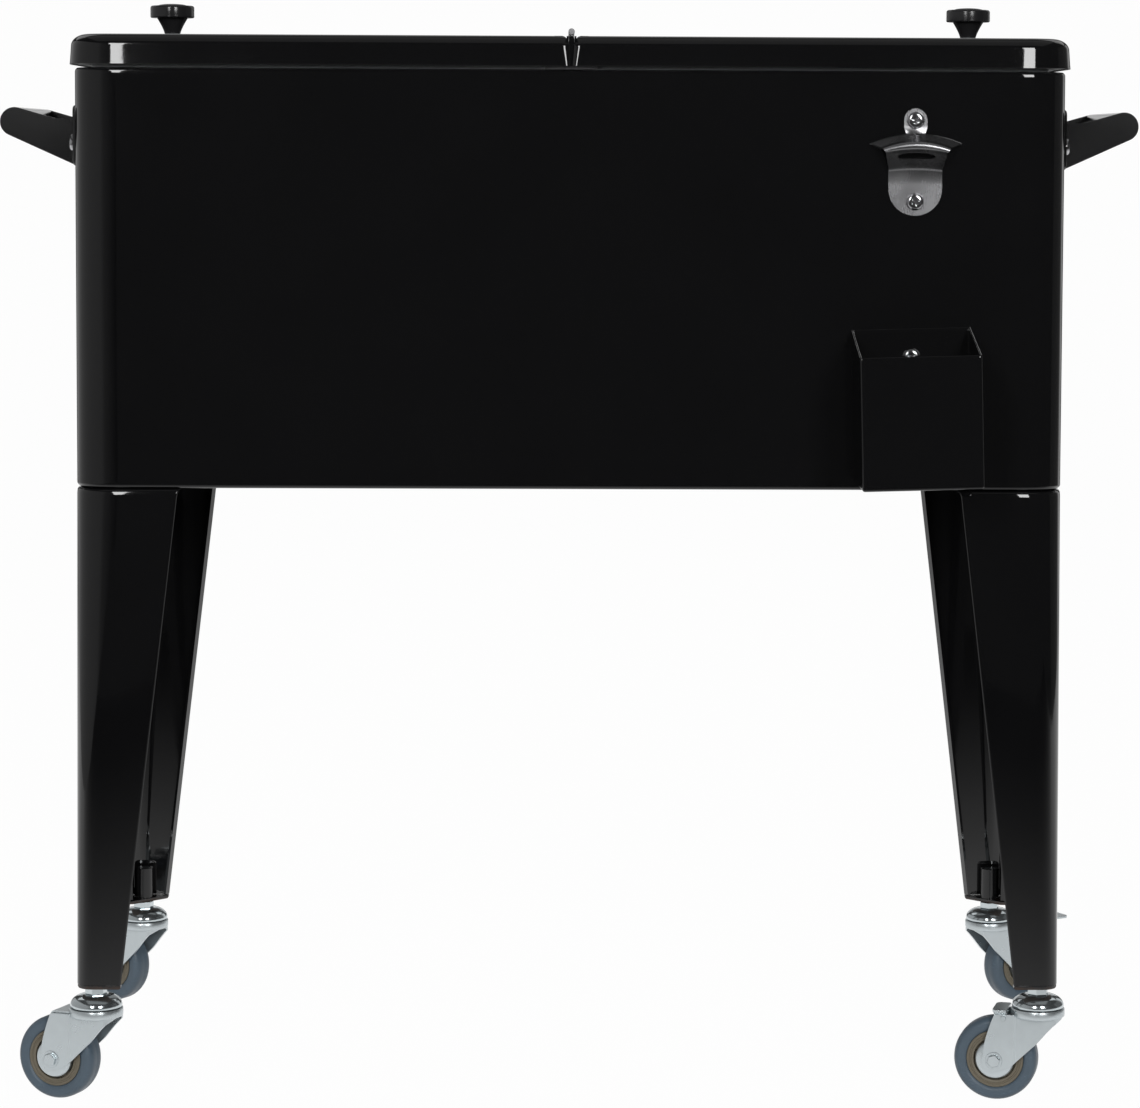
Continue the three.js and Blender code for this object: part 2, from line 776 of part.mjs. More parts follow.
function leg(cornerX, cornerY) {
  const angle = loft([
    { outline: legOutline(legBottomWidth, legBottomRadius, cornerX, cornerY), z: legBottom },
    { outline: legOutline(legTopWidth, bodyCornerRadius, cornerX, cornerY), z: legTop },
  ]);
  const half = legWall / 2;
  const arc = [];
  for (let i = 0; i <= cornerSteps; i++) {
    const turn = (Math.PI / 2) * (i / cornerSteps);
    const radius = bodyCornerRadius - half;
    arc.push([bodyCornerRadius - radius * Math.sin(turn), bodyCornerRadius - radius * Math.cos(turn)]);
  }
  const far = legTopWidth - half;
  const lip = legReturn - half;
  const plate = [[far, lip], [far, half], ...arc, [half, far], [lip, far]];
  const placed = plate.map(([a, b]) => [cornerX * (halfWidth - a), cornerY * (halfDepth - b)]);
  return angle.add(prismZ(placed, legTop - legTopPlate, legTop));
}

// Socket: the sole plate under the leg with the sleeve that takes the castor's stem
const castorX = halfWidth - castorInset;
const castorY = halfDepth - castorInset;

function legSocket(cornerX, cornerY) {
  const outline = [];
  for (let i = 0; i <= cornerSteps; i++) {
    const turn = (Math.PI / 2) * (i / cornerSteps);
    outline.push([legBottomRadius * (1 - Math.sin(turn)), legBottomRadius * (1 - Math.cos(turn))]);
  }
  outline.push([0, legBottomWidth], [legReturn, legBottomWidth], [legBottomWidth, legReturn], [legBottomWidth, 0]);
  const placed = outline.map(([a, b]) => [cornerX * (halfWidth - a), cornerY * (halfDepth - b)]);
  const [x, y] = [cornerX * castorX, cornerY * castorY];
  return prismZ(placed, soleBottom, soleTop)
    .add(rodZ(sleeveRadius, soleTop - pressLap, soleTop + sleeveHeight, x, y))
    .subtract(rodZ(stemRadius + gap, soleBottom - cutOverrun, soleTop + sleeveHeight + cutOverrun, x, y));
}

// Castor pieces stand on the stem's axis, with the wheel trailing towards -X
const cheekInner = tyreWidth / 2 + hubCapProud + cheekClearance;
const cheekOuter = cheekInner + forkSheet;

function castorRace() {
  const shoulder = domeHeight / 4;
  return turned(closedProfile([
    [0, crownBottom - gap - kingpinHeadHeight],
    [kingpinHeadRadius, crownBottom - gap - kingpinHeadHeight],
    [kingpinHeadRadius, crownBottom - gap],
    [kingpinRadius, crownBottom - gap],
    [kingpinRadius, domeBottom],
    [domeRadius, domeBottom],
    [domeRadius, domeBottom + shoulder],
    [domeRadius - shoulder, domeTop - shoulder],
    [domeRadius - 2 * shoulder, domeTop],
    [collarRadius, domeTop],
    [collarRadius, collarTop],
    [stemRadius, collarTop],
    [stemRadius, soleTop + sleeveHeight],
    [0, soleTop + sleeveHeight],
  ]), knobSides);
}

function arcPoints(cx, cz, radius, from, to, steps) {
  const points = [];
  for (let i = 0; i <= steps; i++) {
    const angle = from + ((to - from) * i) / steps;
    points.push([cx + radius * Math.cos(angle), cz + radius * Math.sin(angle)]);
  }
  return points;
}

// Angle at which a line from a point touches a circle, on the side asked for
function tangentAngle([x, z], [cx, cz], radius, side) {
  return Math.atan2(z - cz, x - cx) + side * Math.acos(radius / Math.hypot(x - cx, z - cz));
}

function offsetPoint([x, z], angle, distance) {
  return [x + distance * Math.cos(angle), z + distance * Math.sin(angle)];
}

function pointAtX(from, to, x) {
  const share = (x - from[0]) / (to[0] - from[0]);
  return [x, from[1] + (to[1] - from[1]) * share];
}

function castorFork(braked) {
  const crown = turned(closedProfile([
    [kingpinRadius + gap, crownBottom],
    [crownRadius - crownPlate / 2, crownBottom],
    [crownRadius, crownBottom + crownPlate / 2],
    [crownRadius, crownTop],
    [crownRadius - crownRim, crownTop],
    [crownRadius - crownRim, crownBottom + crownPlate],
    [kingpinRadius + gap, crownBottom + crownPlate],
  ]), knobSides);
  const cheekTop = crownBottom + crownPlate - gap;
  const cheek = [
    [-browReach, cheekTop],
    [-castorTrail - cheekEndRadius * Math.cos(Math.PI / 6), axleLevel + cheekEndRadius],
    ...arcPoints(-castorTrail, axleLevel, cheekEndRadius, Math.PI, 1.75 * Math.PI, cornerSteps),
    [-castorTrail + hubCapRadius, axleLevel - cheekEndRadius / 2],
    [crownRadius * cheekNoseShare, crownBottom - forkRise / 3],
    [crownRadius * cheekShoulderShare, crownBottom + crownPlate / 2],
    [0, cheekTop],
  ];
  let fork = crown;
  for (const side of [-1, 1]) {
    const [y0, y1] = side > 0 ? [cheekInner, cheekOuter] : [-cheekOuter, -cheekInner];
    fork = fork.add(prismY(cheek, y0, y1));
  }
  const reach = cheekOuter + cutOverrun;
  fork = fork.subtract(rodY(axleRadius + gap, -reach, reach, -castorTrail, axleLevel));
  if (braked) {
    const pivotHole = pedalPivotRadius + gap;
    return fork.subtract(rodY(pivotHole, -reach, reach, -pedalPivotInset, pedalPivotLevel, knuckleSides));
  }
  const brow = block(-browReach, -crownRadius / 2, -cheekOuter, cheekOuter, crownBottom + gap, cheekTop);
  return fork.add(brow);
}

function axle() {
  const end = cheekOuter + gap;
  return turned(closedProfile([
    [0, -end - axleHeadHeight],
    [axleHeadRadius, -end - axleHeadHeight],
    [axleHeadRadius, -end],
    [axleRadius, -end],
    [axleRadius, end],
    [axleHeadRadius, end],
    [axleHeadRadius, end + axleHeadHeight],
    [0, end + axleHeadHeight],
  ]), knuckleSides);
}

function wheelCore() {
  const face = tyreWidth / 2 - hubCapProud / 2;
  const cap = tyreWidth / 2 + hubCapProud;
  return turned(closedProfile([
    [axleRadius + gap, -cap],
    [hubCapRadius, -cap],
    [hubCapRadius, -face],
    [coreRadius, -face],
    [coreRadius, face],
    [hubCapRadius, face],
    [hubCapRadius, cap],
    [axleRadius + gap, cap],
  ]), wheelSides);
}

function tyre() {
  const half = tyreWidth / 2;
  const seat = coreRadius + gap;
  return turned(closedProfile([
    [seat, -half + tyreShoulder / 2],
    [wheelRadius - tyreShoulder, -half],
    [wheelRadius - tyreShoulder / 3, -half + tyreShoulder / 2],
    [wheelRadius, -half + treadShare * tyreShoulder],
    [wheelRadius, half - treadShare * tyreShoulder],
    [wheelRadius - tyreShoulder / 3, half - tyreShoulder / 2],
    [wheelRadius - tyreShoulder, half],
    [seat, half - tyreShoulder / 2],
  ]), wheelSides);
}

// Brake pedal: a plate over the wheel on a pin through the fork, with a shoe above the tyre
const pedalBottom = crownBottom + pedalLift;
const pedalPivotLevel = crownBottom;

function brakePedal(reach) {
  const half = pedalWidth / 2;
  const pinEnd = cheekOuter + axleHeadHeight / 2;
  const earInner = cheekInner - gap - pedalEarSheet;
  const inset = crownRadius + gap;
  const plateStart = -Math.max(inset, pedalPivotInset - 2 * pedalPivotRadius);
  let pedal = block(-reach, plateStart, -half, half, pedalBottom, pedalBottom + pedalSheet);
  pedal = pedal.add(rodY(pedalPivotRadius, -pinEnd, pinEnd, -pedalPivotInset, pedalPivotLevel, knuckleSides));
  for (const side of [-1, 1]) {
    const [y0, y1] = side > 0 ? [earInner, earInner + pedalEarSheet] : [-earInner - pedalEarSheet, -earInner];
    const ear = block(
      -pedalPivotInset - pedalPivotRadius, -pedalPivotInset + pedalPivotRadius, y0, y1,
      pedalPivotLevel, pedalBottom + pressLap,
    );
    pedal = pedal.add(ear);
  }
  const shoeX = -pedalPivotInset - 2 * pedalPivotRadius;
  const shoeBottom = axleLevel + wheelRadius + shoeClearance;
  return pedal.add(
    block(shoeX - shoeLength, shoeX, -earInner, earInner, shoeBottom, pedalBottom + pressLap),
  );
}

function addCastor(corner, cornerX, cornerY) {
  const braked = cornerX > 0;
  const castor = new THREE.Group();
  castor.position.set(cornerX * castorX, cornerY * castorY, 0);
  addPart(`castor_${corner}_race`, castorRace(), zinc, castor);
  const swivel = new THREE.Group();
  swivel.rotation.z = THREE.MathUtils.degToRad(castorTurns[corner]);
  castor.add(swivel);
  addPart(`castor_${corner}_fork`, castorFork(braked), zinc, swivel);
  if (braked) {
    const reach = cornerY < 0 ? frontPedalReach : rearPedalReach;
    addPart(`castor_${corner}_brake_pedal`, brakePedal(reach), zinc, swivel);
  }
  const wheel = new THREE.Group();
  wheel.position.set(-castorTrail, 0, axleLevel);
  wheel.rotation.x = Math.PI / 2;
  swivel.add(wheel);
  addPart(`castor_${corner}_axle`, axle(), zinc, wheel);
  addPart(`castor_${corner}_wheel_core`, wheelCore(), coreMaterial, wheel);
  addPart(`castor_${corner}_tyre`, tyre(), tyreMaterial, wheel);
  cooler.add(castor);
}

// Side handle: a shallow base pressing, two cheeks that taper outwards and upwards,
// and a grip sheet rolled round the tip. Worked out for the right-hand side.
function handle() {
  const face = halfWidth + gap;
  const plateOuter = halfWidth + handleBaseDepth;
  const plateInner = plateOuter - handleSheet;
  const halfBase = handleBaseWidth / 2;
  const halfGrip = handleWidth / 2;
  let solid = block(face, plateOuter, -halfBase, halfBase, handleBottom, handleTop);
  solid = solid.subtract(
    block(face - cutOverrun, plateInner, -halfBase + handleSheet, halfBase - handleSheet,
      handleBottom + handleSheet, handleTop - handleSheet),
  );
  const tip = [halfWidth + handleReach - handleTipRadius, handleTop - handleTipDrop];
  const rootTop = [plateOuter - pressLap, handleBottom + handleRootRise];
  const rootBottom = [plateOuter - pressLap, handleBottom];
  const knee = [halfWidth + handleKneeReach, handleBottom + handleKneeRise];
  const upper = tangentAngle(knee, tip, handleTipRadius, -1);
  const lower = tangentAngle(rootBottom, tip, handleTipRadius, 1);
  const outerArc = arcPoints(...tip, handleTipRadius, lower, upper, 2 * cornerSteps);
  const innerArc = arcPoints(...tip, handleTipRadius - handleSheet, upper, lower, 2 * cornerSteps);
  const cheek = [rootTop, rootBottom, ...outerArc, knee];
  for (const side of [-1, 1]) {
    const [y0, y1] = side > 0 ? [halfGrip - handleSheet, halfGrip] : [-halfGrip, -halfGrip + handleSheet];
    solid = solid.add(prismY(cheek, y0, y1));
  }
  const gripX = halfWidth + handleGripInner;
  const topEnd = pointAtX(outerArc[outerArc.length - 1], knee, gripX);
  const lowEnd = pointAtX(outerArc[0], rootBottom, gripX);
  const topInner = pointAtX(innerArc[0], offsetPoint(knee, upper, -handleSheet), gripX);
  const lowInner = pointAtX(innerArc[innerArc.length - 1], offsetPoint(rootBottom, lower, -handleSheet), gripX);
  solid = solid.add(prismY([lowEnd, ...outerArc, topEnd, topInner, ...innerArc, lowInner], -halfGrip, halfGrip));
  const webBottom = lowInner[1] + handleGripSlit;
  solid = solid.add(block(gripX, gripX + handleSheet, -halfGrip, halfGrip, webBottom, topInner[1] + pressLap));
  for (const end of [-1, 1]) {
    solid = solid.subtract(
      rodX(screwRadius + gap, face - cutOverrun, plateOuter + cutOverrun, end * handleScrewY, handleScrewLevel),
    );
  }
  return solid;
}

// Pan-head screw along +Z: its head stands on Z = 0 and its shank goes down
function panScrew(reach) {
  return turned(closedProfile([
    [0, -reach],
    [screwRadius, -reach],
    [screwRadius, 0],
    [screwHeadRadius, 0],
    [screwHeadRadius, screwHeadHeight / 3],
    [screwHeadRadius * screwRimShare, screwHeadHeight * screwRimShare],
    [screwHeadRadius * screwCrownShare, screwHeadHeight],
    [0, screwHeadHeight],
  ]), screwSides);
}

// Bottle opener: one strip of sheet, folded forward under the lug into a hood with an upright
// lip, and back again to the wall, with a slot under the lip
function bottleOpener() {
  const back = -halfDepth - gap;
  const level = (drop) => openerTop - drop;
  const halfPlate = openerPlateWidth / 2;
  const halfLip = openerLipWidth / 2;
  const halfHood = openerHoodWidth / 2;
  const halfSlot = openerSlotWidth / 2;
  const wallSide = [
    [back, openerTop],
    [back, level(openerHoodDrop)],
    [back - openerReach, level(openerLipTopDrop)],
    [back - openerReach, level(openerLipBottomDrop)],
    [back, level(openerBendDrop)],
    [back, openerBottom],
  ];
  const roomSide = wallSide.map(([y, z]) => [y - openerSheet, z]);
  const strip = prismX([...wallSide, ...roomSide.reverse()], openerPlace - halfHood, openerPlace + halfHood);
  const rightHalf = [
    [halfPlate, level(openerBendDrop)],
    [halfLip, level(openerLipBottomDrop)],
    [halfLip, level(openerLipTopDrop)],
    [halfHood, level(openerWingDrop)],
    [halfHood, level(openerLipTopDrop)],
    [openerLugRadius, level(openerHoodDrop)],
  ];
  const outline = [
    ...arcPoints(0, openerBottom + halfPlate, halfPlate, Math.PI, 2 * Math.PI, 2 * cornerSteps),
    ...rightHalf,
    ...arcPoints(0, openerUpperScrew, openerLugRadius, 0, Math.PI, 2 * cornerSteps),
    ...rightHalf.map(([x, z]) => [-x, z]).reverse(),
  ];
  const front = back - openerReach - openerSheet - cutOverrun;
  const placed = outline.map(([x, z]) => [openerPlace + x, z]);
  let opener = strip.intersect(prismY(placed, front, back + cutOverrun));
  const slotTop = level(openerSlotDrop);
  const slot = block(
    openerPlace - halfSlot, openerPlace + halfSlot, front, back + cutOverrun, slotTop - openerSlotHeight, slotTop,
  );
  opener = opener.subtract(slot);
  for (const z of [openerUpperScrew, openerLowerScrew]) {
    opener = opener.subtract(rodY(screwRadius + gap, front, back + cutOverrun, openerPlace, z));
  }
  return opener;
}

// Cap catcher: a sheet box open at the top, its sides sloping down to the front.
// It is drawn about its one screw, on which it hangs a little askew.
function capCatcher() {
  const half = catcherWidth / 2;
  const bottom = catcherBottom - catcherScrewLevel;
  const backTop = catcherBackTop - catcherScrewLevel;
  const frontTop = bottom + catcherFrontHeight;
  const outside = [[0, bottom], [0, backTop], [-catcherReach, frontTop], [-catcherReach, bottom]];
  const slope = (backTop - frontTop) / catcherReach;
  const insideBack = -catcherSheet;
  const insideFront = -catcherReach + catcherSheet;
  const rise = cutOverrun;
  const inside = [
    [insideBack, bottom + catcherSheet],
    [insideBack, backTop + slope * insideBack + rise],
    [insideFront, backTop + slope * insideFront + rise],
    [insideFront, bottom + catcherSheet],
  ];
  return prismX(outside, -half, half)
    .subtract(prismX(inside, -half + catcherSheet, half - catcherSheet))
    .subtract(rodY(screwRadius + gap, -catcherSheet - cutOverrun, cutOverrun, 0, 0));
}

// Drain: a flanged spout through the tub's floor, and the cap under the body
const spoutRadius = drainBore + drainWall;
const spoutBottom = bodyBottom - drainDrop;

function drainSpout() {
  const top = tubFloor + gap;
  return turned(closedProfile([
    [drainBore, spoutBottom],
    [spoutRadius, spoutBottom],
    [spoutRadius, top],
    [drainFlangeRadius, top],
    [drainFlangeRadius, top + drainFlangeThickness / 2],
    [drainFlangeRadius - drainFlangeThickness / 2, top + drainFlangeThickness],
    [drainBore, top + drainFlangeThickness],
  ]), screwSides);
}

function drainCap() {
  const inner = spoutRadius + gap;
  const outer = inner + drainCapWall;
  const floor = spoutBottom - gap;
  return turned(closedProfile([
    [0, floor - drainCapWall],
    [outer, floor - drainCapWall],
    [outer, floor + drainCapDepth],
    [inner, floor + drainCapDepth],
    [inner, floor],
    [0, floor],
  ]), screwSides);
}

addPart('outer_shell', outerShell(), blackPaint);
addPart('foam_insulation', insulation(), foamMaterial);
addPart('inner_tub', innerTub(), tubMaterial);
addPart('hinge_bridge', hingeBridge(), stainless);
addPart('hinge_pin', hingePin(), stainless);
addLid('left', -1);
addLid('right', 1);

const drain = new THREE.Group();
drain.position.set(drainPlaceX, drainPlaceY, 0);
addPart('drain_spout', drainSpout(), darkPlastic, drain);
addPart('drain_cap', drainCap(), darkPlastic, drain);
cooler.add(drain);

for (const [corner, cornerX, cornerY] of [
  ['front_left', -1, -1],
  ['front_right', 1, -1],
  ['rear_left', -1, 1],
  ['rear_right', 1, 1],
]) {
  addPart(`leg_${corner}`, leg(cornerX, cornerY), blackPaint);
  addPart(`leg_socket_${corner}`, legSocket(cornerX, cornerY), blackPaint);
  addCastor(corner, cornerX, cornerY);
}

addPart('handle_left', mirrored(handle(), -1), blackPaint);
addPart('handle_right', handle(), blackPaint);
for (const { name, side, y } of handleScrews) {
  const place = new THREE.Group();
  place.position.set(side * (halfWidth + handleBaseDepth + gap), y, handleScrewLevel);
  place.rotation.y = (side * Math.PI) / 2;
  addPart(name, panScrew(handleBaseDepth + gap + screwReach), stainless, place);
  cooler.add(place);
}

addPart('bottle_opener', bottleOpener(), stainless);
const catcher = new THREE.Group();
catcher.position.set(catcherPlace, -halfDepth - gap, catcherScrewLevel);
catcher.rotation.y = -THREE.MathUtils.degToRad(catcherTilt);
addPart('cap_catcher', capCatcher(), blackPaint, catcher);
cooler.add(catcher);
for (const { name, x, z, seat } of frontScrews) {
  const place = new THREE.Group();
  place.position.set(x, -halfDepth - 2 * gap - seat, z);
  place.rotation.x = Math.PI / 2;
  addPart(name, panScrew(seat + 2 * gap + screwReach), stainless, place);
  cooler.add(place);
}

// The origin is the middle of the outline on the floor
const model = new THREE.Group();
model.add(cooler);
model.updateMatrixWorld(true);
const middle = new THREE.Box3().setFromObject(model, true).getCenter(new THREE.Vector3());
cooler.position.set(-middle.x, -middle.y, 0);

export default model;
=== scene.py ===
import math

import bmesh
import bpy
import numpy as np
from bpy.props import FloatProperty, FloatVectorProperty, PointerProperty
from bpy.types import Operator, Panel, PropertyGroup
from mathutils import Matrix, Vector


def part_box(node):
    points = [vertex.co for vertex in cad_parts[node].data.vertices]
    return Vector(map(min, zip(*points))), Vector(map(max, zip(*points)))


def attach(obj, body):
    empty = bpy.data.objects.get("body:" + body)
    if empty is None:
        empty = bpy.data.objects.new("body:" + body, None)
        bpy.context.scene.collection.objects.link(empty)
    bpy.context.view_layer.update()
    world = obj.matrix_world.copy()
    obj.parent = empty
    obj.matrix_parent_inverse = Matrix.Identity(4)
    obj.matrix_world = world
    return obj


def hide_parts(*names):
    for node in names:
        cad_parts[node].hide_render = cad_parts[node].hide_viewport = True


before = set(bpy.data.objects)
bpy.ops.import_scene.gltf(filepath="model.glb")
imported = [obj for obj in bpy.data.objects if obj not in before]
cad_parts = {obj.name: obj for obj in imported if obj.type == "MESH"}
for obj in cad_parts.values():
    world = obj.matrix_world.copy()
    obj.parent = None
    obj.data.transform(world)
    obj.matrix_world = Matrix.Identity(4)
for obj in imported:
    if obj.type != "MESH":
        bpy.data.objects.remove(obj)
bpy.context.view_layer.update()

bl_info = {
    "name": "Rolling Patio Cooler",
    "version": (1, 0, 0),
    "blender": (4, 5, 0),
    "location": "View3D > Sidebar > Cooler",
    "description": "Detailed pieces, finishes and studio for a rolling patio cooler",
    "category": "Add Mesh",
}

MM = 0.001
# Each castor's side in X and in Y, and the degrees its swivel stands turned at rest
CORNERS = {
    "front_left": (-1, -1, -22.5),
    "front_right": (1, -1, -14.4),
    "rear_left": (-1, 1, -32.0),
    "rear_right": (1, 1, 208.6),
}
# How far each brake pedal's plate reaches from the castor's stem
PEDAL_REACH = {"front_right": 34.0, "rear_right": 74.0}


def node_box(node):
    """Lowest and highest corner of a CAD node, in millimetres."""
    low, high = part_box(node)
    return np.array(low) / MM, np.array(high) / MM


SHELL_LOW, SHELL_HIGH = node_box("outer_shell")
LID_LOW, LID_HIGH = node_box("lid_right")
MIDDLE_Y = (SHELL_LOW[1] + SHELL_HIGH[1]) / 2
HALF_WIDTH = (SHELL_HIGH[0] - SHELL_LOW[0]) / 2
HALF_DEPTH = (SHELL_HIGH[1] - SHELL_LOW[1]) / 2
BODY_BOTTOM = SHELL_LOW[2]
BODY_TOP = SHELL_HIGH[2]
LID_BOTTOM = LID_LOW[2]
LID_TOP = LID_HIGH[2]
LID_END_X = LID_HIGH[0]
LID_END_Y = (LID_HIGH[1] - LID_LOW[1]) / 2
LID_MIDDLE_X = LID_LOW[0]
# The hinge's axis runs this far over the lids
HINGE_Z = LID_TOP + 3.0
TUB_TOP = node_box("inner_tub")[1][2]
# Air between two faces that would otherwise touch
GAP = 0.3
# The tub's flange ends this far inside the solid's flange, which makes a dark seam under the lids
SEAM_DEPTH = 5.0
# The tub's opening stands this far inside the shell
OPENING_INSET = 26.0
# How far the end of each lid draws back beside the hinge
TIP_DEPTH = 2.4
# From the middle, the two ends of the step by which a lid's inner wall rises over the bridge
SKIRT_LIFT = (178.2, 178.6)
# Height of a screw's head
SCREW_HEAD = 3.0
# Width and corner radius of a leg at its foot and at its top
LEG_WIDTH = (35.5, 81.0)
LEG_RADIUS = (13.0, 30.0)
# A castor's stem stands this far inside the chest's sides, and its axle this far behind the stem
STEM_INSET = 14.5
TRAIL = 32.0
WHEEL_RADIUS = 32.5

# The studio in metres: where the floor starts, and the two ends of each reflector card
FLOOR_FRONT = -2.4
LEFT_CARD = ((-1.2, -4.8), (-3.4, 6.0))
RIGHT_CARD = ((3.0, -0.5), (2.2, 3.2))
# Places in Y along each card, with the share of its radiance there
LEFT_STOPS = ((-4.8, 0.0), (-4.0, 0.1), (-2.7, 0.34), (-2.2, 0.66), (-0.5, 0.84), (1.5, 1.0), (6.0, 1.0))
RIGHT_STOPS = ((-0.5, 0.15), (1.6, 0.15), (2.6, 1.0), (3.2, 1.0))

# The camera's place in X, its shift as a share of the sensor, and its yaw, pitch and roll in degrees
CAMERA_X = -0.0071
CAMERA_SHIFT = (-0.06, -0.1)
CAMERA_TURN = (-1.15, -4.307, 0.272)


# Shapes worked out with numpy, in millimetres from the middle of the chest's plan


def arc(x, y, radius, start, end, count):
    """A circle's arc: the centre plus the radius times cosine and sine of angles in degrees."""
    angles = np.radians(np.linspace(start, end, count))
    return np.stack([x + radius * np.cos(angles), y + radius * np.sin(angles)], axis=1)


def quarter(count):
    """Angles of a quarter turn, in radians."""
    return np.linspace(0, np.pi / 2, count)


def rolled(radius, count):
    """Pairs along a quarter circle: radius times 1 - sin(a) and radius times 1 - cos(a)."""
    turn = quarter(count)
    return list(zip(radius * (1 - np.sin(turn)), radius * (1 - np.cos(turn))))


def soft_corner(x, y, radius, start, steps=24, ease=1.4, power=2.95, gather=0.8):
    """A pressed corner about an arc's centre: the superellipse u**p + v**p = 1 whose flat ends
    ease into the sides, taken at normals that gather towards both ends."""
    share = np.linspace(0, 1, steps)
    normal = np.radians(90 * (share - gather * np.sin(2 * np.pi * share) / (2 * np.pi)))
    ratio = np.tan(np.clip(normal, 0, np.radians(89.99))) ** (1 / (power - 1))
    v = (1 + ratio**power) ** (-1 / power)
    u = np.where(share == 1, 1.0, ratio * v)
    v = np.where(share == 1, 0.0, v)
    long = radius * ease
    local = long * np.stack([v, u], axis=1) - (long - radius)
    turn = math.radians(start)
    cosine, sine = round(math.cos(turn)), round(math.sin(turn))
    ahead, aside = local[:, 0], local[:, 1]
    return np.stack([x + ahead * cosine - aside * sine, y + ahead * sine + aside * cosine], axis=1)


def rounded_outline(x0, x1, y0, y1, low, high, steps=14, lead=1.5, stations=(), bow=arc):
    """Four quarter circles, or other bows, joined by straight sides, with their own radius at each
    end of X, a lead-in point beyond every arc, and extra stations along the sides that run with X."""
    corners = [
        (x1 - high, y0 + high, high, -90),
        (x1 - high, y1 - high, high, 0),
        (x0 + low, y1 - low, low, 90),
        (x0 + low, y0 + low, low, 180),
    ]
    ways = [(1, 0), (0, 1), (-1, 0), (0, -1)]
    sides = [
        [],
        [(x, y1) for x in sorted(stations, reverse=True)],
        [],
        [(x, y0) for x in sorted(stations)],
    ]
    rows = []
    for (x, y, radius, start), way, side in zip(corners, ways, sides):
        if bow is arc:
            curve = arc(x, y, radius, start, start + 90, steps)
        else:
            curve = bow(x, y, radius, start)
        out = np.array([-way[1], way[0]])
        rows += [curve[:1] - np.array(way) * lead, curve, curve[-1:] + out * lead]
        if side:
            rows.append(np.array(side, dtype=float))
    return np.concatenate(rows)


def raised(outline, z):
    """An outline in the XY plane with a height, or a height for each of its points."""
    return np.column_stack([outline, np.broadcast_to(z, len(outline))])


def lathe(profile, count=48):
    """Every [radius, height] of the profile turned round Z: (r cos a, r sin a, h)."""
    profile = np.asarray(profile, dtype=float)
    angles = np.linspace(0, 2 * np.pi, count, endpoint=False)
    radius = profile[:, :1]
    height = np.broadcast_to(profile[:, 1:2], (len(profile), count))
    return np.stack([radius * np.cos(angles), radius * np.sin(angles), height], axis=-1)


def set_on(points, origin, x=(1, 0, 0), y=(0, 1, 0), z=(0, 0, 1)):
    """Points of a piece's own frame carried to an origin and three axes."""
    axes = np.array([x, y, z], dtype=float)
    return np.asarray(origin, dtype=float) + np.asarray(points, dtype=float) @ axes


def extruded(outline, start, end, axis):
    """A closed outline carried straight along X, Y or Z from start to end."""
    outline = np.asarray(outline, dtype=float)
    return np.stack([np.insert(outline, axis, place, axis=1) for place in (start, end)])


def filleted(points, radii, steps=6):
    """An open path with each inner corner replaced by an arc that touches both its sides."""
    points = np.asarray(points, dtype=float)
    path = [points[:1]]
    for before, corner, after, radius in zip(points, points[1:], points[2:], radii):
        back = (before - corner) / np.linalg.norm(before - corner)
        on = (after - corner) / np.linalg.norm(after - corner)
        half = math.acos(np.clip(back @ on, -1, 1)) / 2
        reach = radius / math.tan(half)
        centre = corner + (back + on) / np.linalg.norm(back + on) * radius / math.sin(half)
        first = corner + back * reach - centre
        last = corner + on * reach - centre
        turn = np.arctan2(first[0] * last[1] - first[1] * last[0], first @ last)
        angles = np.linspace(0, turn, steps)
        cosine, sine = np.cos(angles), np.sin(angles)
        bow = [first[0] * cosine - first[1] * sine, first[0] * sine + first[1] * cosine]
        path.append(centre + np.stack(bow, axis=1))
    path.append(points[-1:])
    return np.concatenate(path)


def thickened(path, thickness):
    """A closed outline: the path, then the same path moved sideways by the thickness."""
    path = np.asarray(path, dtype=float)
    step = np.gradient(path, axis=0)
    normal = np.stack([-step[:, 1], step[:, 0]], axis=1)
    normal /= np.linalg.norm(normal, axis=1)[:, None]
    return np.concatenate([path, (path + normal * thickness)[::-1]])


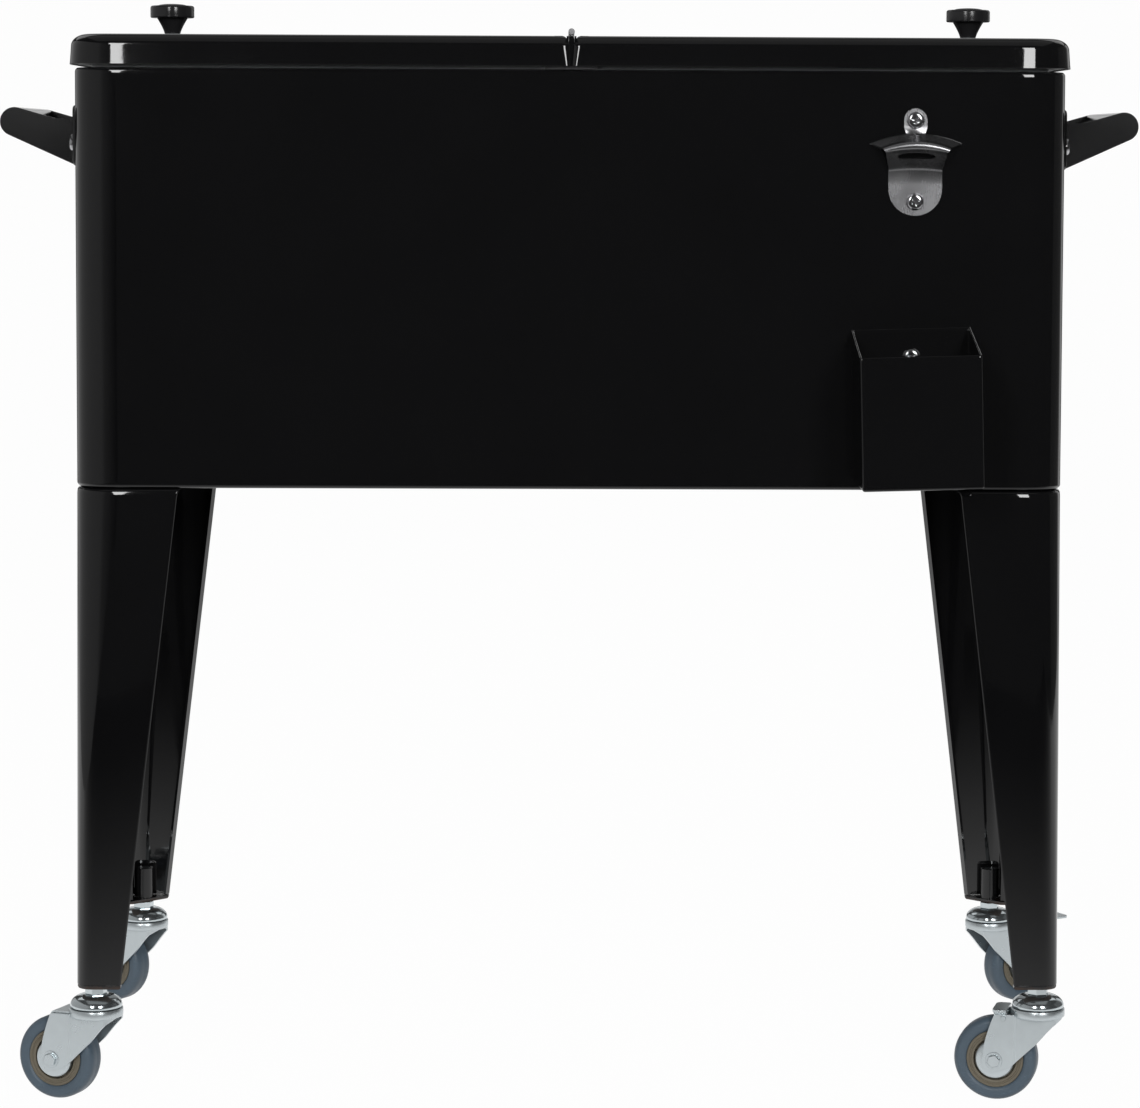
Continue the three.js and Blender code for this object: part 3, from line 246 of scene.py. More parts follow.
class Skin:
    """Points and faces of one piece, gathered from grids of points."""

    def __init__(self):
        self.points = []
        self.corners = []
        self.sizes = []
        self.count = 0

    def grid(self, points, close_columns=True, caps=(False, False), keep=None):
        """Quads between neighbouring points of a grid, less those that keep leaves out, with flat
        caps on its first and last row."""
        rows, columns = points.shape[:2]
        row = np.arange(rows - 1)
        column = np.arange(columns if close_columns else columns - 1)
        row, column = np.meshgrid(row, column, indexing="ij")
        below, beside = row + 1, (column + 1) % columns
        quads = np.stack(
            [
                row * columns + column,
                row * columns + beside,
                below * columns + beside,
                below * columns + column,
            ],
            axis=-1,
        )
        if keep is not None:
            quads = quads[keep]
        quads = quads.reshape(-1, 4)
        self.corners.append(quads.ravel() + self.count)
        self.sizes.append(np.full(len(quads), 4))
        ring = np.arange(columns)
        if caps[0]:
            self.corners.append(ring[::-1] + self.count)
            self.sizes.append(np.array([columns]))
        if caps[1]:
            self.corners.append(ring + (rows - 1) * columns + self.count)
            self.sizes.append(np.array([columns]))
        self.points.append(points.reshape(-1, 3))
        self.count += rows * columns
        return self

    def solid(self, points):
        """A grid of rings with flat ends."""
        return self.grid(points, caps=(True, True))

    def prism(self, outline, start, end, axis):
        """An outline carried along an axis, with flat ends."""
        return self.solid(extruded(outline, start, end, axis))

    def turned(self, profile, origin=(0, 0, 0), x=(1, 0, 0), y=(0, 1, 0), z=(0, 0, 1), count=48):
        """A profile turned round the third of three axes through the origin."""
        return self.grid(set_on(lathe(profile, count), origin, x, y, z))

    def mirrored(self):
        """The same faces on the other side of the chest."""
        other = Skin()
        other.points = [np.concatenate(self.points) * np.array([-1, 1, 1])]
        other.corners, other.sizes, other.count = self.corners, self.sizes, self.count
        return other

    def piece(self, name, body, look, node=None, bevel=0.0, wall=0.0, angle=32):
        """The Blender object: doubles merged, normals outwards, walls and rounded edges by modifiers."""
        points = (np.concatenate(self.points) + np.array([0, MIDDLE_Y, 0])) * MM
        corners = np.concatenate(self.corners).astype(np.int32)
        sizes = np.concatenate(self.sizes).astype(np.int32)
        starts = np.concatenate([[0], np.cumsum(sizes)[:-1]]).astype(np.int32)
        mesh = bpy.data.meshes.new(name)
        mesh.vertices.add(len(points))
        mesh.vertices.foreach_set("co", points.astype(np.float32).ravel())
        mesh.loops.add(len(corners))
        mesh.loops.foreach_set("vertex_index", corners)
        mesh.polygons.add(len(sizes))
        mesh.polygons.foreach_set("loop_start", starts)
        mesh.update(calc_edges=True)
        mesh.validate()
        work = bmesh.new()
        work.from_mesh(mesh)
        bmesh.ops.remove_doubles(work, verts=work.verts, dist=1e-6)
        bmesh.ops.dissolve_degenerate(work, edges=work.edges, dist=1e-7)
        bmesh.ops.recalc_face_normals(work, faces=work.faces)
        work.to_mesh(mesh)
        work.free()
        mesh.polygons.foreach_set("use_smooth", np.ones(len(mesh.polygons), dtype=bool))
        thing = bpy.data.objects.new(name, mesh)
        bpy.context.collection.objects.link(thing)
        mesh.materials.append(finish(look))
        if wall:
            solid = thing.modifiers.new("Sheet", "SOLIDIFY")
            solid.thickness = wall * MM
            solid.offset = -1
            solid.use_even_offset = True
        if bevel:
            edge = thing.modifiers.new("Edges", "BEVEL")
            edge.width = bevel * MM
            edge.segments = 2
            edge.limit_method = "ANGLE"
            edge.angle_limit = math.radians(angle)
            edge.harden_normals = True
        else:
            mesh.set_sharp_from_angle(angle=math.radians(angle))
        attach(thing, body)
        if node:
            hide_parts(*([node] if isinstance(node, str) else node))
        return thing


# Finishes


class Socket:
    """A shader socket on which the usual operators add Math nodes."""

    def __init__(self, nodes, socket):
        self.nodes, self.socket = nodes, socket

    def math(self, operation, *values):
        return self.nodes.node("ShaderNodeMath", {"operation": operation}, dict(enumerate(values)))

    def beside(self, name):
        """Another output of the same node."""
        return Socket(self.nodes, self.socket.node.outputs[name])

    def __add__(self, other):
        return self.math("ADD", self, other)

    def __sub__(self, other):
        return self.math("SUBTRACT", self, other)

    def __rsub__(self, other):
        return self.math("SUBTRACT", other, self)

    def __mul__(self, other):
        return self.math("MULTIPLY", self, other)

    def __pow__(self, other):
        return self.math("POWER", self, other)

    __radd__ = __add__
    __rmul__ = __mul__


class Nodes:
    """The nodes and links of one tree."""

    def __init__(self, tree):
        self.tree = tree

    def node(self, kind, settings, values, output=0):
        """A node of a type with its settings first, then values or links on its sockets."""
        made = self.tree.nodes.new(kind)
        for key, value in settings.items():
            if key == "stops":
                ramp = made.color_ramp
                while len(ramp.elements) < len(value):
                    ramp.elements.new(1.0)
                for element, (place, tone) in zip(ramp.elements, value):
                    element.position = place
                    element.color = (*tone, 1.0) if len(tone) == 3 else tone
            else:
                setattr(made, key, value)
        for key, value in values.items():
            self.feed(made.inputs[key], value)
        return Socket(self, made.outputs[output])

    def feed(self, socket, value):
        """Links another socket to this one, or sets its value; a colour gets an alpha of 1."""
        if isinstance(value, Socket):
            self.tree.links.new(value.socket, socket)
        elif isinstance(value, (tuple, list)) and socket.type == "RGBA" and len(value) == 3:
            socket.default_value = (*value, 1.0)
        else:
            socket.default_value = value

    def blend(self, mask, first, second):
        """First colour where the mask is 0, second where it is 1."""
        return self.node("ShaderNodeMix", {"data_type": "RGBA"}, {0: mask, 6: first, 7: second}, 2)


class Finish(Nodes):
    """One material's node graph round a Principled shader."""

    def __init__(self, name, **constants):
        self.material = bpy.data.materials.new(name)
        self.material.use_nodes = True
        super().__init__(self.material.node_tree)
        self.tree.nodes.clear()
        self.shader = self.tree.nodes.new("ShaderNodeBsdfPrincipled")
        self.output = self.tree.nodes.new("ShaderNodeOutputMaterial")
        self.tree.links.new(self.shader.outputs[0], self.output.inputs[0])
        self.places = self.node("ShaderNodeTexCoord", {}, {}, "Object")
        self.finished(**constants)

    def place(self, axis):
        """One of the Object coordinates in metres: 0 for X, 1 for Y, 2 for Z."""
        return self.node("ShaderNodeSeparateXYZ", {}, {"Vector": self.places}, axis)

    def noise(self, scale, detail=2.0, stretch=(1, 1, 1), offset=(0, 0, 0), rough=0.5):
        """Noise on Object coordinates in metres, stretched by its own scale on each axis."""
        mapping = {"Vector": self.places, "Scale": stretch, "Location": offset}
        place = self.node("ShaderNodeMapping", {}, mapping)
        values = {"Vector": place, "Scale": scale, "Detail": detail, "Roughness": rough}
        return self.node("ShaderNodeTexNoise", {}, values)

    def range(self, value, low, high, to_low=0.0, to_high=1.0):
        """The value's span from low to high mapped to another span and held there."""
        values = {"Value": value, "From Min": low, "From Max": high, "To Min": to_low, "To Max": to_high}
        return self.node("ShaderNodeMapRange", {"clamp": True}, values)

    def bump(self, height, strength, distance, below=None):
        """A normal bent by a height, on top of another bump if one is given."""
        values = {"Height": height, "Strength": strength, "Distance": distance}
        if below is not None:
            values["Normal"] = below
        return self.node("ShaderNodeBump", {}, values)

    def shown(self, socket):
        """The material, once another shader than the Principled one is on its output."""
        self.feed(self.output.inputs[0], socket)
        return self.material

    def finished(self, **links):
        """The material, once values and links are on the shader's sockets."""
        for key, value in links.items():
            self.feed(self.shader.inputs[key.replace("_", " ")], value)
        return self.material


def linear(colour):
    """Linear values of an sRGB colour, by its power law above the toe."""
    colour = np.asarray(colour, dtype=float)
    return tuple(np.where(colour <= 0.04045, colour / 12.92, ((colour + 0.055) / 1.055) ** 2.4))


def shade(colour, share):
    """A colour made darker or lighter by a share."""
    return tuple(value * share for value in colour)


def black_paint(finishes, name="black powder coat", satin=0.0):
    """Gloss powder coat: fine orange peel on a very slight waviness, with faint dust."""
    paint = Finish(name, IOR=1.5)
    tone = tuple(finishes.paint)
    peel = paint.noise(420.0, 2.0)
    wave = paint.noise(16.0, 1.0)
    dust = paint.range(paint.noise(900.0, 3.0, offset=(3, 1, 2)), 0.62, 0.8)
    cloud = paint.noise(14.0, 4.0)
    colour = paint.blend(cloud, shade(tone, 0.85), shade(tone, 1.2))
    colour = paint.blend(dust * 0.25, colour, (0.03, 0.03, 0.032))
    rough = paint.range(cloud, 0.3, 0.7, 0.03 + satin, 0.055 + satin) + dust * 0.12
    smooth = paint.bump(wave, 0.25, 0.0004)
    normal = paint.bump(peel, 0.02, 0.0002, smooth)
    return paint.finished(Base_Color=colour, Roughness=rough, Normal=normal)


def stainless(finishes, name="brushed stainless", along="Z", rough=0.27):
    """Brushed stainless: long thin noise along the brushing, in roughness, tone and bump."""
    steel = Finish(name, Metallic=1.0)
    tone = tuple(finishes.stainless)
    stretch = {"X": (1, 40, 40), "Y": (40, 1, 40), "Z": (40, 40, 1)}[along]
    hair = steel.noise(110.0, 5.0, stretch, rough=0.6)
    cloud = steel.noise(45.0, 3.0)
    colour = steel.blend(hair, shade(tone, 0.98), shade(tone, 1.02))
    colour = steel.blend(cloud, shade(tone, 0.82), colour)
    roughness = steel.range(hair, 0.3, 0.7, rough - 0.01, rough + 0.015) + (cloud - 0.5) * 0.14
    return steel.finished(Base_Color=colour, Roughness=roughness, Normal=steel.bump(hair, 0.006, 0.0001))


def bright_screw(finishes):
    """Polished stainless of the screw heads, with a little grey film."""
    steel = Finish("polished screw", Metallic=1.0)
    film = steel.range(steel.noise(500.0, 3.0), 0.45, 0.7)
    tone = tuple(finishes.stainless)
    colour = steel.blend(film, shade(tone, 1.3), shade(tone, 0.8))
    return steel.finished(Base_Color=colour, Roughness=film * 0.12 + 0.08)


def zinc_plate(finishes, name="bright zinc", metal=0.78, satin=0.26):
    """Zinc plate: clouded bluish tone with faint specks, satin or, with a low satin, polished."""
    zinc = Finish(name, Metallic=metal)
    tone = tuple(finishes.zinc)
    cloud = zinc.noise(90.0, 5.0)
    speck = zinc.range(zinc.noise(1400.0, 2.0), 0.6, 0.75)
    colour = zinc.blend(cloud, shade(tone, 0.88), shade(tone, 1.08))
    colour = zinc.blend(speck * 0.08, colour, (0.4, 0.38, 0.35))
    rough = zinc.range(cloud, 0.3, 0.7, satin, satin + 0.1)
    return zinc.finished(Base_Color=colour, Roughness=rough, Normal=zinc.bump(cloud, 0.015, 0.0003))


def tyre_rubber(finishes):
    """Blue-grey moulded tread: matt skin with scuffs and fine grit."""
    rubber = Finish("blue-grey tread", IOR=1.48)
    tone = tuple(finishes.tyre)
    cloud = rubber.noise(60.0, 4.0)
    grit = rubber.noise(1100.0, 3.0)
    scuff = rubber.range(rubber.noise(240.0, 4.0, (1, 1, 3)), 0.58, 0.75)
    colour = rubber.blend(cloud, shade(tone, 0.85), shade(tone, 1.12))
    colour = rubber.blend(scuff * 0.35, colour, shade(tone, 1.7))
    rough = 0.42 + scuff * 0.2
    return rubber.finished(Base_Color=colour, Roughness=rough, Normal=rubber.bump(grit, 0.12, 0.0003))


def moulded(name, tone, rough=0.45, grain=700.0, depth=0.0002, vary=0.12):
    """Moulded plastic: faint flow clouds and a spark-eroded grain."""
    plastic = Finish(name, IOR=1.47)
    cloud = plastic.noise(25.0, 3.0)
    fine = plastic.noise(grain, 2.0)
    colour = plastic.blend(cloud, shade(tone, 1 - vary), shade(tone, 1 + vary))
    roughness = plastic.range(cloud, 0.3, 0.7, rough - 0.05, rough + 0.07)
    return plastic.finished(Base_Color=colour, Roughness=roughness, Normal=plastic.bump(fine, 0.1, depth))


def rusted_paint(finishes):
    """Black paint over the leg's foot, worn to brown at its lowest edge."""
    paint = Finish("foot paint", IOR=1.5)
    worn, whole, ragged = 0.0895, 0.0925, 0.006
    edge = paint.place(2) + (paint.noise(160.0, 4.0) - 0.5) * ragged
    low = paint.range(edge, worn, whole, 1.0, 0.0)
    brown = paint.blend(paint.noise(500.0, 4.0), (0.03, 0.016, 0.01), (0.075, 0.042, 0.028))
    colour = paint.blend(low, tuple(finishes.paint), brown)
    return paint.finished(Base_Color=colour, Roughness=low * 0.5 + 0.22)


def foam_finish():
    """Poured foam with fine closed cells."""
    foam = Finish("poured foam", Roughness=0.9)
    cells = foam.node("ShaderNodeTexVoronoi", {}, {"Vector": foam.places, "Scale": 900.0})
    colour = foam.blend(cells, (0.62, 0.52, 0.28), (0.84, 0.76, 0.48))
    return foam.finished(Base_Color=colour, Normal=foam.bump(cells, 0.4, 0.0006))


# Materials made so far, by the name that the pieces ask for
FINISHES = {}


def finish(name):
    """One material of the cooler, made the first time it is asked for."""
    if name not in FINISHES:
        tones = bpy.context.scene.cooler_finishes
        makers = {
            "paint": lambda: black_paint(tones),
            "grip": lambda: black_paint(tones, "satin powder coat", 0.1),
            "foot": lambda: rusted_paint(tones),
            "steel": lambda: stainless(tones),
            "hinge": lambda: stainless(tones, "hinge stainless", "Y", 0.3),
            "screw": lambda: bright_screw(tones),
            "zinc": lambda: zinc_plate(tones),
            "cup": lambda: zinc_plate(tones, "polished zinc", 0.96, 0.1),
            "tyre": lambda: tyre_rubber(tones),
            "core": lambda: moulded("khaki wheel core", tuple(tones.core), 0.5),
            "knob": lambda: moulded("charcoal knob", tuple(tones.knob), 0.18, 1200.0, 0.00002),
            "tub": lambda: moulded("pale tub plastic", tuple(tones.tub), 0.32, 300.0, 0.0001, 0.03),
            "dark": lambda: moulded("dark drain plastic", (0.022, 0.022, 0.024), 0.45),
            "foam": foam_finish,
        }
        FINISHES[name] = makers[name]()
    return FINISHES[name]


# Settings


class CoolerSizes(PropertyGroup):
    """Sizes of the visible edges and sheets, in millimetres."""

    corner: FloatProperty(name="Corner radius", description="Upright corners of the chest", default=30.0)
    bottom_roll: FloatProperty(
        name="Bottom roll", description="Radius of the chest's lower edge", default=3.0
    )
    shoulder: FloatProperty(name="Shoulder", description="Radius of the chest's upper edge", default=3.0)
    lid_roll: FloatProperty(name="Lid roll", description="Radius of the lids' top edge", default=10.0)
    sheet: FloatProperty(name="Sheet", description="Thickness of the chest's steel sheet", default=1.0)
    edge: FloatProperty(name="Edge", description="Rounding of cut sheet edges", default=0.4)


class CoolerFinishes(PropertyGroup):
    """Colours of the finishes, linear."""

    paint: FloatVectorProperty(
        name="Paint", description="Powder coat", subtype="COLOR", size=3, default=(0.0042, 0.0042, 0.0046)
    )
    stainless: FloatVectorProperty(
        name="Stainless",
        description="Opener and hinge",
        subtype="COLOR",
        size=3,
        default=(0.35, 0.35, 0.36),
    )
    zinc: FloatVectorProperty(
        name="Zinc", description="Castor plate", subtype="COLOR", size=3, default=(0.56, 0.61, 0.63)
    )
    tyre: FloatVectorProperty(
        name="Tyre", description="Tread", subtype="COLOR", size=3, default=linear((0.33, 0.39, 0.44))
    )
    core: FloatVectorProperty(
        name="Wheel core",
        description="Ring inside the tread",
        subtype="COLOR",
        size=3,
        default=linear((0.45, 0.42, 0.36)),
    )
    knob: FloatVectorProperty(
        name="Knob", description="Lid knobs", subtype="COLOR", size=3, default=(0.017, 0.017, 0.018)
    )
    tub: FloatVectorProperty(
        name="Tub", description="Tub and lid liners", subtype="COLOR", size=3, default=(0.66, 0.68, 0.69)
    )


class CoolerStudio(PropertyGroup):
    """Camera, reflector cards and lamps of the studio."""

    lens: FloatProperty(name="Lens", description="Focal length", subtype="DISTANCE_CAMERA", default=122.3)
    distance: FloatProperty(
        name="Distance", description="From the front panel to the lens", unit="LENGTH", default=2.952
    )
    height: FloatProperty(name="Height", description="Lens above the floor", unit="LENGTH", default=0.7385)
    left: FloatProperty(name="Left softbox", description="Radiance, where white is 1", default=15.0)
    right: FloatProperty(name="Right softbox", description="Radiance, where white is 1", default=15.0)
    panel: FloatProperty(name="Left card", description="Radiance, where white is 1", default=0.5)
    rim: FloatProperty(name="Right card", description="Radiance, where white is 1", default=0.8)
    top: FloatProperty(name="Overhead", description="Radiance, where white is 1", default=0.2)
    rear: FloatProperty(name="Rear softboxes", description="Radiance, where white is 1", default=0.8)
    room: FloatProperty(name="Room", description="Grey of the room round the set", default=0.05)


# Chest


def body_row(sizes, inset, z, **extra):
    """The chest's outline with soft corners, moved inwards, at a height."""
    radius = max(sizes.corner - inset, 0.8)
    x, y = HALF_WIDTH - inset, HALF_DEPTH - inset
    return raised(rounded_outline(-x, x, -y, y, radius, radius, bow=soft_corner, **extra), z)


class COOLER_OT_shell(Operator):
    """Rounded sheet-steel box: a rounded rectangle carried down over the shoulder, the side and
    the bottom roll, and back up inside by the sheet's thickness"""

    bl_idname = "cooler.shell"
    bl_label = "Shell"

    def execute(self, context):
        sizes = context.scene.cooler_sizes
        low, high, sheet = sizes.bottom_roll, sizes.shoulder, sizes.sheet
        floor, rim, flat = 8, 12, 2
        rows = [(low + floor, BODY_BOTTOM)]
        rows += [(inset, BODY_BOTTOM + rise) for inset, rise in rolled(low, 8)]
        rows += [(0, BODY_BOTTOM + low + flat), (0, BODY_TOP - high - flat)]
        rows += [(inset, BODY_TOP - drop) for drop, inset in rolled(high, 8)]
        rows += [(rim, BODY_TOP), (rim, BODY_TOP - sheet), (high + sheet, BODY_TOP - sheet)]
        rows += [(sheet, BODY_TOP - high - sheet), (sheet, BODY_BOTTOM + low + sheet)]
        rows += [(low + sheet, BODY_BOTTOM + sheet)]
        skin = Skin().solid(np.stack([body_row(sizes, inset, z) for inset, z in rows]))
        skin.piece("shell", "chest", "paint", "outer_shell", angle=50)
        return {"FINISHED"}


class COOLER_OT_tub(Operator):
    """Moulded tub: rounded rectangles from the floor up the drafted wall to the flange's edge and
    back down outside, with the flange let down under the bridge's ends; and the folded bridge"""

    bl_idname = "cooler.tub"
    bl_label = "Tub and bridge"

    def execute(self, context):
        self.tub(context.scene.cooler_sizes)
        self.bridge()
        return {"FINISHED"}

    def tub(self, sizes):
        """The wall's rows and the flange's rows in one grid, which is lowered under the bridge."""
        low, high = node_box("inner_tub")
        flange = HALF_WIDTH - high[0] + SEAM_DEPTH
        wall, draft, floor_radius, mouth_radius, outer_radius = 3.0, 5.0, 9.0, 2.0, 25.0
        inner_x, inner_y = HALF_WIDTH - OPENING_INSET, HALF_DEPTH - OPENING_INSET
        floor = low[2] + wall
        saddle_half, saddle_end, saddle_z = 20.4, HALF_DEPTH - 8.5, TUB_TOP - 2.55
        stations = (-20.6, -20.2, 20.2, 20.6)

        def wall_row(inset, z, radius=22.0):
            """Rounded rectangle round the tub's opening."""
            x, y = inner_x - inset, inner_y - inset
            return raised(rounded_outline(-x, x, -y, y, radius, radius, 24, stations=stations), z)

        def flange_row(inset, z):
            """The shell's outline, moved inwards."""
            return body_row(sizes, inset, z, stations=stations)

        rows = [wall_row(draft + inset, floor + rise) for inset, rise in rolled(floor_radius, 7)]
        rows += [wall_row(0.4, TUB_TOP - 4), wall_row(0, TUB_TOP - 2)]
        rows += [wall_row(-out, TUB_TOP - drop) for drop, out in rolled(mouth_radius, 7)]
        rows += [flange_row(flange + inset, TUB_TOP - drop) for inset, drop in rolled(mouth_radius, 7)]
        rows += [flange_row(flange, TUB_TOP - 2.4), flange_row(flange + 4, TUB_TOP - 2.5)]
        rows += [wall_row(-wall, TUB_TOP - 2.6, outer_radius)]
        rows += [wall_row(draft - wall, low[2] + floor_radius, outer_radius)]
        rows += [wall_row(draft, low[2], outer_radius)]
        grid = np.stack(rows)
        under = (np.abs(grid[..., 0]) < saddle_half) & (grid[..., 2] > saddle_z)
        under &= np.abs(grid[..., 1]) < saddle_end
        grid[..., 2] = np.where(under, saddle_z, grid[..., 2])
        skin = Skin().solid(grid)
        skin.piece("tub", "chest", "tub", "inner_tub", angle=50)

    def bridge(self):
        """A channel with returned edges between the tub's walls, and a tab on the flange at each end."""
        low, high = node_box("hinge_bridge")
        half, bottom = high[0], low[2]
        lip, sheet, tab_sheet = 6, 2.0, 2.4
        reach = HALF_DEPTH - OPENING_INSET - 3.2
        path = [(-half + lip, bottom), (-half, bottom), (-half, TUB_TOP), (half, TUB_TOP), (half, bottom)]
        path = filleted(path + [(half - lip, bottom)], [1.5, 2.5, 2.5, 1.5])
        skin = Skin().prism(thickened(path, -sheet), -reach, reach, 1)
        under = TUB_TOP - tab_sheet
        tab = [(-half, under), (half, under), (half, TUB_TOP), (-half, TUB_TOP)]
        end = HALF_DEPTH - 9.5
        for side in (-1, 1):
            skin.prism(tab, side * (reach - 1), side * end, 1)
        skin.piece("bridge", "chest", "hinge", "hinge_bridge", bevel=0.5)


def lid_row(inset, end, z, shrink=0.0):
    """Right-hand lid's outline: soft corners outside, and at the hinge end a shallow curve on
    to a tip beside the hinge line, then a step back to the wall that the hinge leaf lies on."""
    radius = 34.0 - max(inset, shrink)
    x1, y = LID_END_X - inset - shrink, LID_END_Y - inset - shrink
    tip = 0.5 + 2.2 * end + shrink
    wall = LID_MIDDLE_X + end + shrink
    long = 4.4 + 3.4 * min(end, 0.75)
    front = soft_corner(x1 - radius, radius - y, radius, -90)
    turn = quarter(12)
    ear = np.stack([tip + long * (1 - np.sin(turn)), TIP_DEPTH * (1 - np.cos(turn)) - y], axis=1)
    ear = np.concatenate([ear, [[tip, TIP_DEPTH + 0.5 - y], [wall, TIP_DEPTH + 0.9 - y]]])
    seam = [[wall, -SKIRT_LIFT[1]], [wall, -SKIRT_LIFT[0]]]
    half = np.concatenate([np.array(seam)[::-1], ear[::-1], [[x1 - 1.4 * radius - 4, -y]], front])
    return raised(np.concatenate([half, half[::-1] * np.array([1, -1])]), z)


class COOLER_OT_lids(Operator):
    """Two lid pans with a rolled top edge and a drafted skirt, and their moulded liners with a
    plug: outlines whose inset and height follow a quarter ellipse at each rolled edge"""

    bl_idname = "cooler.lids"
    bl_label = "Lids"

    def execute(self, context):
        sizes = context.scene.cooler_sizes
        pan, liner = Skin().solid(self.pan(sizes)), Skin().solid(self.liner(sizes))
        sides = (("left", pan.mirrored(), liner.mirrored()), ("right", pan, liner))
        for name, pan_skin, liner_skin in sides:
            body = f"{name}_lid"
            pan_skin.piece(f"pan_{name}", body, "paint", f"lid_{name}", angle=50)
            liner_skin.piece(f"liner_{name}", body, "tub", f"lid_liner_{name}", angle=50)
        return {"FINISHED"}

    def pan(self, sizes):
        """Outlines from the flat top over the rolled edge and down the skirt, then back up inside,
        with the wall beside the hinge lifted over the bridge."""
        across, down = sizes.lid_roll + 3.5, sizes.lid_roll - 1.0
        end_roll, end_draft, draft, sheet = 3.0, 0.5, 1.1, 1.5
        rows = [lid_row(across + more, end_roll + more, LID_TOP) for more in (6, 2)]
        for share, drop in rolled(1.0, 12):
            end = end_draft + (end_roll - end_draft) * share
            rows.append(lid_row(draft + (across - draft) * share, end, LID_TOP - down * drop))
        rows += [lid_row(0.3, 0.1, LID_BOTTOM + 3.0), lid_row(0, 0, LID_BOTTOM + 0.4)]
        rows += [lid_row(0.4, 0.1, LID_BOTTOM), lid_row(0, 0, LID_BOTTOM, sheet)]
        rows += [lid_row(draft, end_draft, LID_TOP - down, sheet)]
        rows += [lid_row(across - sheet, end_roll, LID_TOP - sheet, sheet)]
        pan = np.stack(rows)
        over = (pan[..., 0] < LID_MIDDLE_X + 4) & (np.abs(pan[..., 1]) < SKIRT_LIFT[0] + 0.1)
        over &= pan[..., 2] < TUB_TOP + 0.5
        pan[..., 2] = np.where(over, TUB_TOP + 0.4, pan[..., 2])
        return pan

    def liner(self, sizes):
        """Rounded rectangles from the ceiling down the side, in over the seat and round the plug."""
        inside, ceiling, plug_depth, plug_inset = 2.9, 1.9, 6, 31.0
        roll = sizes.lid_roll + 3.5
        seat = TUB_TOP + GAP
        turn = quarter(8)
        side = (LID_MIDDLE_X + inside, LID_END_X - inside, LID_END_Y - inside, 5.5, 31.0)
        plug = (25.0, HALF_WIDTH - plug_inset, HALF_DEPTH - plug_inset, 17.0, 17.0)
        rows = [(roll - inside, LID_TOP - ceiling, side), (0.4, LID_TOP - roll, side)]
        rows += [(inset, seat + rise, side) for rise, inset in rolled(3.0, 8)]
        rows += [(-2 * (1 - math.cos(a)), seat - 2 * math.sin(a), plug) for a in turn]
        rows += [(inset, seat - plug_depth + rise, plug) for inset, rise in rolled(3.0, 8)[::-1]]
        rows += [(8.0, seat - plug_depth, plug)]
        grid = []
        for inset, z, (low_x, high_x, y, low, high) in rows:
            low, high = max(low - inset, 1.0), max(high - inset, 1.0)
            outline = rounded_outline(low_x + inset, high_x - inset, inset - y, y - inset, low, high)
            grid.append(raised(outline, z))
        return np.stack(grid)


class COOLER_OT_hinge(Operator):
    """Piano hinge along the middle: knuckle tubes turned round the pin in alternating slots,
    an upright fixed leaf, and a leaf on each lid"""

    bl_idname = "cooler.hinge"
    bl_label = "Hinge"

    def execute(self, context):
        half, count = LID_END_Y - 1.0, 9
        bore, outer, chamfer, slit, neck, thin = 1.15, 2.4, 0.3, 0.3, 0.6, 0.7
        pitch = 2 * half / count
        fixed, left, right = Skin(), Skin(), Skin()
        skins = [fixed, left, fixed, right]
        for slot in range(count):
            skin = skins[slot % 4]
            start = -half + slot * pitch + slit
            end = start + pitch - 2 * slit
            ring = [(bore, start), (outer - chamfer, start), (outer, start + chamfer)]
            ring += [(outer, end - chamfer), (outer - chamfer, end), (bore, end), (bore, start)]
            skin.turned(ring, (0, 0, HINGE_Z), (1, 0, 0), (0, 0, -1), (0, 1, 0), count=28)
            if skin is fixed:
                low, high = HINGE_Z - 3.4, HINGE_Z - 1.5
                skin.prism([(-neck, low), (neck, low), (neck, high), (-neck, high)], start, end, 1)
            else:
                side = -1 if skin is left else 1
                path = filleted([(3.0, HINGE_Z - 6.0), (3.0, HINGE_Z - 1.6), (0.6, HINGE_Z - 1.8)], [1.6])
                skin.prism(thickened(path, thin) * np.array([side, 1]), start, end, 1)
        leaf_end = LID_END_Y - 4.8
        foot, top = TUB_TOP - 0.4, HINGE_Z - 3.0
        shoulder = top - 1.4
        plate = [(-2.0, foot), (2.0, foot), (2.0, shoulder), (thin, top), (-thin, top), (-2.0, shoulder)]
        middle = Skin().prism(plate, -leaf_end, leaf_end, 1)
        middle.piece("hinge_middle_leaf", "chest", "paint", bevel=0.15)
        fixed.piece("hinge_middle_knuckles", "chest", "hinge", bevel=0.15)
        for name, skin, side in (("left", left, -1), ("right", right, 1)):
            x0, x1 = side * 2.3, side * 3.7
            z0, z1 = HINGE_Z - 22.3, HINGE_Z - 3.3
            body, node = f"{name}_lid", f"lid_hinge_leaf_{name}"
            leaf = Skin().prism([(x0, z0), (x1, z0), (x1, z1), (x0, z1)], -leaf_end, leaf_end, 1)
            leaf.piece(f"hinge_leaf_{name}", body, "paint", node, bevel=0.15)
            skin.piece(f"hinge_knuckles_{name}", body, "hinge", bevel=0.15)
        return {"FINISHED"}


